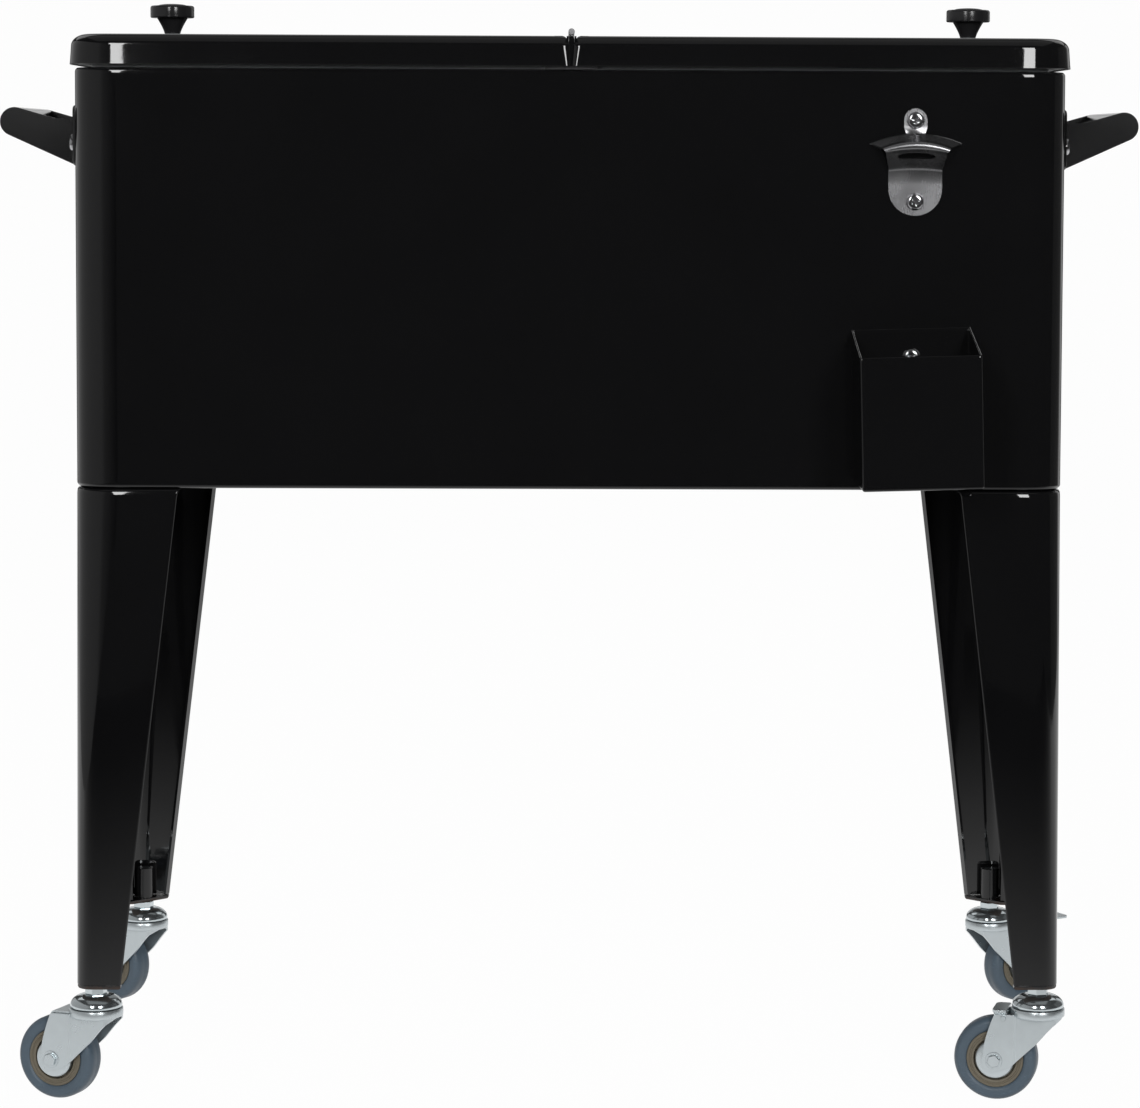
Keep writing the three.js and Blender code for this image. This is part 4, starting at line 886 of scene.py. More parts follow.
class COOLER_OT_knobs(Operator):
    """Turned knobs: a domed disc on a hollow-sided cone, standing on a light metal foot"""

    bl_idname = "cooler.knobs"
    bl_label = "Knobs"

    def execute(self, context):
        low, high = node_box("lid_knob_right")
        waist, flare, lower_round, upper_round, dome, dome_radius = 6.4, 6.0, 1.2, 2.0, 1.5, 11.5
        foot = LID_TOP + 5.4
        bottom = foot + 12.3
        top = high[2] - dome
        radius = high[0] - (low[0] + high[0]) / 2
        shares = np.linspace(0, 1, 12)
        cone = [(waist + flare * share**1.3, foot + (bottom - foot) * share) for share in shares]
        lower = arc(radius - lower_round, bottom + lower_round, lower_round, -90, 0, 7)
        upper = arc(radius - upper_round, top - upper_round, upper_round, 0, 90, 9)
        turn = quarter(12)
        crown = [(dome_radius * math.cos(a), top + dome * math.sin(a)) for a in turn]
        profile = [(0, foot)] + cone + lower.tolist() + upper.tolist() + crown
        base = [(0, LID_TOP + 0.1), (6.2, LID_TOP + 0.1), (6.9, LID_TOP + 0.5), (6.9, LID_TOP + 4.2)]
        base += [(6.4, LID_TOP + 5.0), (6.0, foot), (0, foot)]
        for name, side in (("left", -1), ("right", 1)):
            body, node = f"{name}_lid", f"lid_knob_{name}"
            place = (side * (high[0] - radius), 0, 0)
            knob = Skin().turned(profile, place, count=72)
            knob.piece(f"knob_{name}", body, "knob", node, angle=40)
            ring = Skin().turned(base, place, count=48)
            ring.piece(f"knob_foot_{name}", body, "zinc", angle=40)
        return {"FINISHED"}


class COOLER_OT_handles(Operator):
    """Side handles: a shallow tray pressed from sheet, two cheeks that taper outwards, and a grip
    rolled round the cheeks' tips, all carried straight along the chest's depth"""

    bl_idname = "cooler.handles"
    bl_label = "Handles"

    def execute(self, context):
        low, high = node_box("handle_right")
        shorter, half, sheet, radius, tray_round = 3.0, 90.0, 1.6, 11.3, 2.5
        tip_x, top, bottom = high[0] - shorter, high[2], low[2]
        outer = HALF_WIDTH + 7.5
        half_base = (high[1] - low[1]) / 2
        tip = np.array([tip_x - radius, top - 12.9])
        knee = np.array([HALF_WIDTH + 24.0, bottom + 37.0])
        root_top = np.array([outer - 0.5, bottom + 35.8])
        root_low = np.array([outer - 0.5, bottom])
        upper = self.touch(knee, tip, radius, -1)
        lower = self.touch(root_low, tip, radius, 1)
        bow = arc(tip[0], tip[1], radius, lower, upper, 28)
        cheek = filleted([bow[-1], knee, root_top], [14.0], 8)
        cheek = np.concatenate([[root_low], bow, cheek[1:]])
        skin = Skin()
        for side in (-1, 1):
            skin.prism(cheek, side * (half - sheet), side * half, 1)
        inner_x = HALF_WIDTH + 49.0
        low_end = self.at(bow[0], root_low, inner_x)
        top_end = self.at(bow[-1], knee, inner_x)
        web_low = low_end + np.array([0, 4.6])
        path = np.concatenate([[low_end], bow, [top_end + np.array([0, -0.2])], [web_low]])
        path = np.concatenate([path[: len(bow) + 1], filleted(path[len(bow) :], [1.6], 6)[1:]])
        skin.prism(thickened(path, sheet), -half + 0.05, half - 0.05, 1)
        places = [(0, HALF_WIDTH + GAP), (0, outer - tray_round)]
        places += [(inset, outer - back) for back, inset in rolled(tray_round, 6)[1:]]
        places += [(5.0, outer)]
        rows = [self.tray_row(half_base, bottom, top, inset, x) for inset, x in places]
        skin.solid(np.stack(rows))
        edge = context.scene.cooler_sizes.edge
        for side, part in (("right", skin), ("left", skin.mirrored())):
            name, node = f"handle_{side}_pressing", f"handle_{side}"
            part.piece(name, "chest", "grip", node, bevel=edge)
        return {"FINISHED"}

    def tray_row(self, half, low, high, inset, x):
        """Rounded outline of the tray, moved inwards, at a place along X."""
        outline = rounded_outline(-half + inset, half - inset, low + inset, high - inset, 3.0, 3.0, 7, 0.5)
        return np.column_stack([np.full(len(outline), x), outline])

    def touch(self, point, centre, radius, side):
        """Angle in degrees at which a line from the point touches the circle."""
        way = point - centre
        turn = math.degrees(math.acos(radius / np.linalg.norm(way)))
        return math.degrees(math.atan2(way[1], way[0])) + side * turn

    def at(self, start, end, x):
        """The point at a place in X on the line between two points."""
        share = (x - start[0]) / (end[0] - start[0])
        return np.array([x, start[1] + (end[1] - start[1]) * share])


class COOLER_OT_opener(Operator):
    """Bottle opener pressed from one strip: rows across the strip run from the hood's edge at the
    wall to the arched lip, back down to the bend, and round the foot's half circle; the lug above
    the hood is a sheet of its own"""

    bl_idname = "cooler.opener"
    bl_label = "Bottle opener"

    def execute(self, context):
        low, high = node_box("bottle_opener")
        x0 = (low[0] + high[0]) / 2
        wall = HALF_DEPTH + GAP
        top, bottom = high[2], low[2]
        across = np.linspace(-1, 1, 81)
        bow = across**2
        back, window, radius = 1.6, 0.64, 20.5

        def row(half, reach, z, sag):
            """A row across the strip at a reach from the wall, whose ends sag."""
            y = np.full_like(across, -wall - reach)
            return np.stack([x0 + half * across, y, z - sag * bow], axis=1)

        def way(first, last, shares):
            """Rows between two rows."""
            return [first + (last - first) * s for s in shares]

        # Half width, reach, height and sag of the rows where the strip changes its way
        rear = row(35.4, back, top - 18.9, 7.5)
        hood = row(34.2, 3.6, top - 19.2, 7.3)
        brow = row(26.4, 11.2, top - 24.4, 5.4)
        turn_low = row(23.2, 12.4, top - 32.6, 2.5)
        bend = row(20.4, 2.6, top - 45.2, 1.2)
        plate = row(radius, back, top - 47.6, 1.0)
        rows = way(rear, hood, (0, 0.5, 1)) + way(hood, brow, np.linspace(0.1, 1, 8))
        for share in np.linspace(0.08, 0.92, 10):
            a = math.radians(58 - 104 * share)
            reach, z = 10.6 + 4.2 * math.cos(a), top - 28.4 + 4.3 * math.sin(a)
            rows.append(row(26.4 - 3.2 * share, reach, z, 5.4 - 2.9 * share))
        slot = 0.5 - 0.5 * np.clip(1 - (np.abs(across) / window) ** 5, 0, 1) ** 0.5
        upper = 0.26 * 2 * slot + 0.09 * (1 - 2 * slot)
        lower = 0.26 * 2 * slot + 0.43 * (1 - 2 * slot)
        lead = np.linspace(0.05, 1, 5)
        slot_at = len(rows) + len(lead) - 1
        shares = [share * upper for share in lead] + [1 - share * (1 - lower) for share in lead[::-1]]
        rows += [turn_low + (bend - turn_low) * share[:, None] for share in shares]
        rows += [bend * 0.5 + plate * 0.5 + np.array([0, 0.15, 0]), plate]
        centre = bottom + radius
        rows.append(row(radius, back, centre + 3.0, 0))
        for a in quarter(22):
            rows.append(row(max(radius * math.cos(a), 0.01), back, centre - radius * math.sin(a), 0))
        keep = np.ones((len(rows) - 1, len(across) - 1), dtype=bool)
        keep[slot_at, np.abs(across[:-1] + across[1:]) / 2 < window] = False
        skin = Skin().grid(np.stack(rows), close_columns=False, keep=keep)
        rows = []
        lug, lug_top = 8.9, 9.0
        for z in np.linspace(top - 20.5, top - lug_top, 14):
            share = np.clip((top - 13.5 - z) / 7.0, 0, 1)
            neck = share**2 * (3 - 2 * share)
            reach = back + 2.4 * share**1.5 - neck * (0.9 * bow + 0.35 * np.sin(3.0 * across))
            rows.append(row(lug - 1.9 * neck, reach, z, 0))
        for a in quarter(12)[1:]:
            rows.append(row(max(lug * math.cos(a), 0.01), back, top - lug_top + lug_top * math.sin(a), 0))
        skin.grid(np.stack(rows)[::-1], close_columns=False)
        opener = skin.piece("opener", "chest", "steel", "bottle_opener", bevel=0.3, wall=1.5, angle=50)
        self.face_front(opener.data)
        return {"FINISHED"}

    def face_front(self, mesh):
        """Turns the sheet so that its normals look away from the wall and the wall grows inwards."""
        normals = np.empty(len(mesh.polygons) * 3, dtype=np.float32)
        mesh.polygons.foreach_get("normal", normals)
        if normals.reshape(-1, 3)[:, 1].sum() > 0:
            mesh.flip_normals()


class COOLER_OT_catcher(Operator):
    """Cap catcher: a rounded rectangle carried up four sheet walls, whose rim slopes down to the
    front, folded over and back down inside; the whole turned about its screw"""

    bl_idname = "cooler.catcher"
    bl_label = "Cap catcher"

    def execute(self, context):
        half, reach, sheet, corner, askew = 45.5, 83.0, 1.4, 1.7, 1.6
        low, high = node_box("catcher_screw")
        origin = np.array([(low[0] + high[0]) / 2, -HALF_DEPTH - GAP, (low[2] + high[2]) / 2])
        bottom, back_top, front_top, cut = -95.5, 22.0, 4.5, 0.35
        slope = (back_top - front_top) / reach

        def outline(inset):
            """The box's plan, moved inwards from its walls."""
            radius = max(corner - inset, 0.6)
            return rounded_outline(
                -half + inset, half - inset, -reach + inset, -inset, radius, radius, 7, 0.6
            )

        def level(inset, z):
            """The plan at one height."""
            return raised(outline(inset), z)

        def under_rim(inset, drop):
            """The plan at a drop below the slanting rim."""
            path = outline(inset)
            return raised(path, back_top + slope * path[:, 1] - drop)

        rows = [level(4, bottom)]
        rows += [level(inset, bottom + rise) for inset, rise in rolled(2.0, 6)]
        rows += [level(0, bottom + 4), under_rim(0, 2.0), under_rim(0, cut), under_rim(cut, 0.0)]
        rows += [under_rim(sheet - cut, 0.0), under_rim(sheet, cut), under_rim(sheet, 3.0)]
        rows += [level(sheet, bottom + sheet + 2), level(sheet + 2, bottom + sheet)]
        angle = math.radians(askew)
        x = (math.cos(angle), 0, math.sin(angle))
        z = (-math.sin(angle), 0, math.cos(angle))
        skin = Skin().solid(set_on(np.stack(rows), origin, x, (0, 1, 0), z))
        skin.piece("catcher", "chest", "paint", "cap_catcher", angle=50)
        return {"FINISHED"}


def pan_head(radius=6.6, height=SCREW_HEAD, reach=8.0, shank=2.5, recess=1.9):
    """Pan head over Z = 0 with a crossed recess: the dome less a trough along each of two
    crossing lines that fades out towards the rim; below it the shank."""
    count = 64
    angles = np.linspace(0, 2 * np.pi, count, endpoint=False)
    rings = np.concatenate([np.linspace(0.001, 0.6, 14), np.linspace(0.65, 1.0, 10)])
    radial, angle = np.meshgrid(rings * radius, angles, indexing="ij")
    dome = height * (1 - (radial / radius) ** 6.5) ** 0.55
    across = np.minimum(np.abs(np.cos(angle)), np.abs(np.sin(angle))) * radial
    trough = np.clip((0.85 - across) / 0.3, 0, 1) * np.clip((3.5 - radial) / 0.5, 0, 1)
    z = dome - recess * trough
    head = np.stack([radial * np.cos(angle), radial * np.sin(angle), np.maximum(z, 0.02)], axis=-1)
    below = lathe([(radius, 0.0), (shank, 0.0), (shank, -reach), (0.001, -reach)], count)
    return np.concatenate([head, below])


class COOLER_OT_screws(Operator):
    """Pan-head screws of the handles, the opener and the catcher, with crossed recesses"""

    bl_idname = "cooler.screws"
    bl_label = "Screws"

    def execute(self, context):
        spin = 0.4
        for node in sorted(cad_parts):
            if "screw" not in node or "knob" in node:
                continue
            low, high = node_box(node)
            spin += 0.55
            turn = np.array([[math.cos(spin), math.sin(spin), 0], [-math.sin(spin), math.cos(spin), 0]])
            if node.startswith("handle"):
                side = 1 if "right" in node else -1
                face = high[0] - SCREW_HEAD if side > 0 else low[0] + SCREW_HEAD
                origin = (face, (low[1] + high[1]) / 2 - MIDDLE_Y, (low[2] + high[2]) / 2)
                axes = np.array([[0, 1, 0], [0, 0, side], [side, 0, 0]])
            else:
                origin = ((low[0] + high[0]) / 2, low[1] + SCREW_HEAD - MIDDLE_Y, (low[2] + high[2]) / 2)
                axes = np.array([[1, 0, 0], [0, 0, 1], [0, -1, 0]])
            x, y = turn @ axes
            skin = Skin().grid(set_on(pan_head(), origin, x, y, axes[2]))
            skin.piece(f"{node}_head", "chest", "screw", node, angle=40)
        return {"FINISHED"}


def stem_place(corner):
    """Where a castor's stem stands in the plan, from the middle of the chest."""
    side_x, side_y, _ = CORNERS[corner]
    return np.array([side_x * (HALF_WIDTH - STEM_INSET), side_y * (HALF_DEPTH - STEM_INSET), 0.0])


class COOLER_OT_legs(Operator):
    """Folded legs: an angle of sheet with a round corner and returned edges, carried up while its
    width and radius grow, and rolled inwards under the chest; and the foot that holds the stem"""

    bl_idname = "cooler.legs"
    bl_label = "Legs"

    def execute(self, context):
        low, high = node_box("leg_front_right")
        bottom, top = low[2], high[2]
        edge = context.scene.cooler_sizes.edge
        shares = [*np.linspace(0, 1, 9)[:-1], 0.985]
        for corner, (side_x, side_y, _) in CORNERS.items():
            sign = np.array([side_x, side_y])
            rows = [self.section(share, 0.0, sign, bottom + (top - bottom) * share) for share in shares]
            rows += [self.section(1.0, inset, sign, top - drop) for drop, inset in rolled(4.0, 6)[1:]]
            skin = Skin().solid(np.stack(rows))
            skin.prism(self.plate(sign), top - 2.0, top - 0.05, 2)
            skin.piece(f"leg_sheet_{corner}", "chest", "paint", f"leg_{corner}", bevel=edge, angle=40)
            self.foot(corner, sign)
        return {"FINISHED"}

    def foot(self, corner, sign):
        """Plate with an eased lower edge that closes the leg's end, and the sleeve round the stem."""
        node = f"leg_socket_{corner}"
        low, high = node_box(node)
        base, top = low[2], high[2]
        sole = self.sole(sign)
        centre, half = sole.mean(axis=0), 18.0
        places = [(inset, base + rise) for inset, rise in rolled(1.6, 5)] + [(0, base + 3.0)]
        rows = [raised(centre + (sole - centre) * (1 - inset / half), z) for inset, z in places]
        bore, outer, seat = 5.9, 8.0, base + 2
        sleeve = [(bore, seat), (outer, seat), (outer, top - 0.5), (outer - 0.5, top)]
        sleeve += [(bore, top), (bore, seat)]
        skin = Skin().solid(np.stack(rows))
        skin.turned(sleeve, stem_place(corner), count=32)
        skin.piece(f"foot_{corner}", "chest", "foot", node, angle=40)

    def section(self, share, inset, sign, z, sheet=2.0, lip=7.0):
        """Closed cross-section of the folded angle at a share of the leg's height: each wing ends in
        an arc and a lip that leans back past square."""
        width, radius = (first + (last - first) * share for first, last in (LEG_WIDTH, LEG_RADIUS))
        fold, over, turn, inside = 2.2, 3.0, 52, sheet + 0.4
        bow = soft_corner(radius, radius, radius, 180)[::-1]
        inner = soft_corner(radius, radius, radius - sheet, 180)
        near = arc(width - fold, fold, fold, turn - 90, -90, 6)
        upright = arc(fold, width - fold, fold, 180, 180 - turn, 6)
        far = [[lip, width - over], [lip, width - over - sheet], [inside, width - inside]]
        last = [[width - inside, inside], [width - over - sheet, lip]]
        local = np.concatenate([[[width - over, lip]], near, bow, upright, far, inner, last])
        return raised(sign * (np.array([HALF_WIDTH, HALF_DEPTH]) - local - inset), z)

    def plate(self, sign):
        """Gusset that closes the leg's top under the chest."""
        far, near = 79.5, 5.0
        bow = arc(30.0, 30.0, 25.0, 270, 180, 10)
        local = np.concatenate([[[far, near + 1], [far, near]], bow, [[near, far], [near + 1, far]]])
        return sign * (np.array([HALF_WIDTH, HALF_DEPTH]) - local)

    def sole(self, sign):
        """Outline of the foot's plate: the leg's round corner and a slanting inner edge."""
        bow = arc(13.0, 13.0, 12.4, 270, 180, 10)
        local = np.concatenate([[[34.9, 7.0], [34.9, 0.6]], bow, [[0.6, 34.9], [7.0, 34.9]]])
        return sign * (np.array([HALF_WIDTH, HALF_DEPTH]) - local)


def hexagon(across, z0, z1, chamfer=0.6):
    """A nut's outline: six sides in rings whose radius shrinks at both faces."""
    angles = np.radians(np.arange(0, 360, 60) + 15)
    plan = np.stack([np.cos(angles), np.sin(angles)], axis=1)
    small = across - chamfer
    rings = [(small, z0), (across, z0 + chamfer), (across, z1 - chamfer), (small, z1)]
    return np.stack([raised(radius * plan, z) for radius, z in rings])


class COOLER_OT_castors(Operator):
    """Swivel castors: dust cup and stem, fork with curved cheeks, wheel with tread, core ring
    and hub disc, axle bolt, and the brake pedals of the two at the right"""

    bl_idname = "cooler.castors"
    bl_label = "Castors"

    def execute(self, context):
        for corner, (_, _, yaw) in CORNERS.items():
            stem = stem_place(corner)
            turn = math.radians(yaw)
            x = (math.cos(turn), math.sin(turn), 0)
            y = (-math.sin(turn), math.cos(turn), 0)
            self.race(corner, stem)
            self.fork(corner, stem, x, y)
            self.wheel(corner, stem, x, y)
            if corner in PEDAL_REACH:
                self.pedal(corner, stem, x, y, PEDAL_REACH[corner])
        return {"FINISHED"}

    def lying(self, place, stem, x, y):
        """Origin and axes that lay a turned profile across the fork at a place of its own frame."""
        origin = set_on([place], stem, x, y)[0]
        return {"origin": origin, "x": x, "y": (0, 0, 1), "z": (-y[0], -y[1], 0)}

    def race(self, corner, stem):
        """Kingpin's head, dust cup over the bearing with a rolled rim and a domed top, a hexagon and
        the stem: radius and height over the floor, from the bottom up."""
        turn = np.linspace(0.05, math.pi / 2, 16)
        cup = [(0, 63.9), (6.0, 63.9), (6.5, 64.4), (6.5, 66.0), (4, 66.0), (4, 73.9), (18.9, 73.9)]
        cup += arc(18.9, 75.1, 1.3, -90, 0, 5).tolist()
        cup += [(8.0 + 12.2 * math.cos(a), 75.3 + 8.6 * math.sin(a)) for a in turn]
        cup += [(5.5, 83.9), (5.5, 117.8), (4.9, 118.6), (0, 118.6)]
        skin = Skin().turned(cup, stem, count=56)
        skin.solid(set_on(hexagon(8.5, 83.8, 89.4), stem))
        skin.piece(f"race_{corner}", "chest", "cup", f"castor_{corner}_race", bevel=0.25, angle=40)

    def fork(self, corner, stem, x, y):
        """Crown turned round the stem; each cheek is a surface between a lower and an upper curve
        over X, stepped outwards at a crease; where there is no pedal, a bent brow closes the back
        above the wheel."""
        crown = [(4.3, 66.4), (18.6, 66.4)]
        crown += arc(18.8, 68.4, 2.0, -90, 0, 6).tolist()
        crown += [(20.8, 72.6), (20.4, 73.3), (17.8, 73.3), (17.6, 69.0), (4.3, 69.0), (4.3, 66.4)]
        skin = Skin().turned(crown, stem, x, y, count=56)
        first, last, nose, ear, crease, sheet = -41.3, 19.4, -32.2, 9.0, -16.0, 1.0
        span = first + (last - first) * (1 - np.cos(np.linspace(0, np.pi, 44))) / 2
        span = np.sort(np.concatenate([span, np.linspace(crease - 1.2, crease + 1.2, 11)]))
        nodes = np.array([first, -38.9, -33.0, -25.5, -17.4, -8.0, 1.0, 9.0, 14.0, 17.4, last])
        lower_z = np.array([32.5, 26.3, 23.6, 25.6, 29.5, 38.5, 47.0, 56.5, 61.8, 64.6, 66.4])
        upper_z = np.array([32.5, 40.2, 68.7, 69.0, 69.0, 69.0, 69.0, 69.0, 68.9, 68.3, 67.6])
        lower = np.interp(span, nodes, lower_z)
        upper = np.interp(span, nodes, upper_z)
        ball = np.clip(ear**2 - (span - nose) ** 2, 0, None) ** 0.5
        near, tip = span < nose, nose - 8.0
        climb = np.clip((span - tip) / (nose - tip), 0, 1) ** 0.75
        shoulder = WHEEL_RADIUS + ear
        lower = np.where(near, WHEEL_RADIUS - ball, lower)
        upper = np.where(span < tip, WHEEL_RADIUS + ball, upper)
        upper = np.where(near & (span >= tip), shoulder + (68.7 - shoulder) * climb, upper)
        step = 0.65 * np.tanh((span - crease) / 0.6)
        rim = np.clip(20.4**2 - np.clip(span, 0, None) ** 2, 0, None) ** 0.5 - sheet
        shares = np.linspace(0, 1, 9)
        for side in (-1, 1):
            face = side * np.minimum(13.3 - step, rim)
            loops = []
            for flat, z0, z1, across in zip(face, lower, upper, span):
                z = z0 + (z1 - z0) * shares
                loop = [(across, flat + side * sheet, height) for height in z]
                loops.append(loop + [(across, flat - side * sheet, height) for height in z[::-1]])
            skin.solid(set_on(loops, stem, x, y))
        if corner not in PEDAL_REACH:
            path = filleted([(-32.0, 67.0), (-30.5, 69.0), (-14.0, 69.0)], [1.2], 5)
            brow = extruded(thickened(path, 1.7), -12.6, 12.6, 1)
            skin.solid(set_on(brow, stem, x, y))
        body, node = f"swivel_{corner}", f"castor_{corner}_fork"
        skin.piece(f"fork_{corner}", body, "zinc", node, bevel=0.35, angle=40)

    def wheel(self, corner, stem, x, y):
        """Tread with elliptic shoulders, a moulded core ring, pressed hub discs and the axle bolt,
        all turned about the axle from radii and places along it."""
        body = f"wheel_{corner}"
        axes = self.lying((-TRAIL, 0, WHEEL_RADIUS), stem, x, y)
        half = [(22.3, 8.1), (23.4, 9.4), (25.0, 9.8)]
        half += [(28.0 + 4.5 * math.sin(a), 3.6 + 6.4 * math.cos(a)) for a in quarter(14)]
        parting = [(WHEEL_RADIUS, -0.5), (WHEEL_RADIUS - 0.08, 0.0), (WHEEL_RADIUS, 0.5)]
        tread = [(r, -z) for r, z in half] + parting + half[::-1] + [(22.3, -8.1)]
        skin = Skin().turned(tread, count=96, **axes)
        skin.piece(f"tread_{corner}", body, "tyre", f"castor_{corner}_tyre", angle=40)
        ring = [(14.0, 4.0), (16.5, 4.0), (16.8, 8.9), (18.4, 9.3), (18.8, 8.7), (19.8, 8.6), (20.2, 9.1)]
        ring += [(21.8, 9.1), (22.2, 8.7)]
        core = [(r, -z) for r, z in ring] + ring[::-1] + [(14.0, -4.0)]
        skin = Skin().turned(core, count=72, **axes)
        skin.piece(f"core_{corner}", body, "core", f"castor_{corner}_wheel_core", angle=40)
        disc = [(4.3, 10.2), (6.2, 10.4), (7.0, 11.3), (12.6, 11.5), (14.2, 11.0), (14.9, 10.2)]
        disc += [(14.9, 8.0), (14.6, 7.8)]
        cap = [(r, -z) for r, z in disc] + disc[::-1] + [(4.3, -10.2)]
        skin = Skin().turned(cap, count=72, **axes)
        skin.piece(f"hub_{corner}", body, "zinc", angle=30)
        bolt = Skin().turned([(0, -15), (4, -15), (4, 15), (0, 15)], count=32, **axes)
        for side in (-1, 1):
            washer = [(4, 14.7), (6.5, 14.7), (6.7, 15.2), (6.5, 15.6), (4, 15.6), (4, 14.7)]
            bolt.turned([(r, side * z) for r, z in washer], count=40, **axes)
            head = hexagon(5.2, 15.5, 18.3, 0.5)
            head[..., 2] *= side
            bolt.solid(set_on(head, **axes))
        body, node = f"swivel_{corner}", f"castor_{corner}_axle"
        bolt.piece(f"axle_{corner}", body, "zinc", node, angle=30)

    def pedal(self, corner, stem, x, y, reach):
        """Flat pedal plate with rounded corners over the wheel; below it two ears, a pin and a shoe."""
        body, node = f"pedal_{corner}", f"castor_{corner}_brake_pedal"
        half, under, sheet, ear_inside, ear_outside = 15.0, 70.5, 2.0, 10.2, 12.1
        outline = rounded_outline(-reach, -22.6, -half, half, 4.5, 1.5, 5, 0.8)
        rows = [raised(outline, under), raised(outline, under + sheet)]
        skin = Skin().solid(set_on(np.stack(rows), stem, x, y))
        skin.piece(f"{body}_plate", body, "zinc", node, bevel=0.3, angle=40)
        skin = Skin()
        ear = [(-33.2, 70.6), (-32.4, 68.3), (-28.0, 67.4), (-26.8, 64.9), (-23.4, 64.9), (-22.8, 70.6)]
        ear = filleted(ear, [1.0, 2.0, 1.6, 1.6], 6)
        for side in (-1, 1):
            loop = extruded(ear, side * ear_inside, side * ear_outside, 1)
            skin.solid(set_on(loop, stem, x, y))
        rod = [(0, -16.3), (1.9, -16.3), (2.1, -15.9), (2.1, -14.9), (1.2, -14.9)]
        rod = rod + [(r, -z) for r, z in rod[::-1]]
        skin.turned(rod, count=24, **self.lying((-25.0, 0, 66.3), stem, x, y))
        shoe = [(-30.4, 66.4), (-27.4, 66.4), (-27.4, 70.6), (-30.4, 70.6)]
        shoe = extruded(shoe, -ear_inside, ear_inside, 1)
        skin.solid(set_on(shoe, stem, x, y))
        skin.piece(f"{body}_ears", body, "zinc", node, angle=40)


class COOLER_OT_drain(Operator):
    """Drain spout with a rolled flange in the tub, and its ribbed cap under the chest"""

    bl_idname = "cooler.drain"
    bl_label = "Drain"

    def execute(self, context):
        low, high = node_box("drain_spout")
        place = ((low[0] + high[0]) / 2, (low[1] + high[1]) / 2 - MIDDLE_Y, 0)
        top, bottom = high[2], low[2]
        spout = [(8, bottom), (10.6, bottom), (11, bottom + 0.4), (11, top - 2), (16.4, top - 2)]
        spout += [(17, top - 1.4), (16.4, top - 0.4), (14.5, top), (9.2, top), (8, top - 1.0), (8, bottom)]
        skin = Skin().turned(spout, place, count=56)
        skin.piece("spout", "chest", "dark", "drain_spout", angle=40)
        low, high = node_box("drain_cap")
        base, rim, count, ribs, rib_depth = low[2], high[2], 144, 24, 0.28
        angles = np.linspace(0, 2 * np.pi, count, endpoint=False)
        plan = np.stack([np.cos(angles), np.sin(angles)], axis=1)
        rib = rib_depth * (np.cos(angles * ribs) > 0.2)
        profile = [(0.01, base, 0), (12.0, base, 0), (12.8, base + 0.3, 0), (13.2, base + 0.9, 1)]
        profile += [(13.2, rim - 0.8, 1), (12.9, rim - 0.1, 0), (12.6, rim, 0), (11.6, rim, 0)]
        profile += [(11.35, rim - 0.4, 0), (11.35, base + 2.2, 0), (0.01, base + 2.2, 0)]
        rows = [raised((radius + ribbed * rib)[:, None] * plan, z) for radius, z, ribbed in profile]
        skin = Skin().grid(set_on(np.stack(rows), place))
        skin.piece("spout_cap", "cap_of_drain", "dark", "drain_cap", angle=40)
        return {"FINISHED"}


class COOLER_OT_carried(Operator):
    """Finishes of the CAD nodes that stay as they are"""

    bl_idname = "cooler.carried"
    bl_label = "Kept nodes"

    def execute(self, context):
        kept = {
            "foam_insulation": "foam",
            "hinge_pin": "hinge",
            "lid_knob_screw_left": "zinc",
            "lid_knob_screw_right": "zinc",
        }
        for node, name in kept.items():
            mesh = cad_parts[node].data
            mesh.materials.clear()
            mesh.materials.append(finish(name))
        return {"FINISHED"}


# Studio


def backdrop_finish(name, tone, glow):
    """Matt pale surface that the camera sees close to white; in reflections it is bright round the
    castors and fades towards the front and the wall."""
    surface = Finish(name, Roughness=0.9, Specular_IOR_Level=0.0, Base_Color=(tone, tone, tone))
    camera = surface.node("ShaderNodeLightPath", {}, {}, "Is Camera Ray")
    glossy, through = camera.beside("Is Glossy Ray"), camera.beside("Is Transmission Ray")
    depth, height = surface.place(1), surface.place(2)
    front = surface.range(depth, FLOOR_FRONT, -0.3) ** 3
    rear = surface.range(depth, 0.8, 3.0, 1.0, 0.3)
    band = surface.range(height, 0.75, 0.95) * surface.range(height, 1.5, 2.2, 0.7, 0.0)
    level = camera + (1.0 - camera) * front * (rear + band)
    light = surface.node("ShaderNodeEmission", {}, {"Color": surface.blend(level, (0, 0, 0), (1, 1, 1))})
    matt = Socket(surface, surface.shader.outputs[0])
    share = (camera + glossy + through) * glow
    return surface.shown(surface.node("ShaderNodeMixShader", {}, {0: share, 1: matt, 2: light}))


def card_finish(name, stops):
    """Reflector card whose radiance follows stops along Y, each a place in metres and a level."""
    surface = Finish(name, Roughness=1.0)
    first, last = stops[0][0], stops[-1][0]
    share = surface.range(surface.place(1), first, last)
    grey = [((place - first) / (last - first), (level, level, level)) for place, level in stops]
    colour = surface.node("ShaderNodeValToRGB", {"stops": grey}, {"Fac": share})
    return surface.shown(surface.node("ShaderNodeEmission", {}, {"Color": colour}))


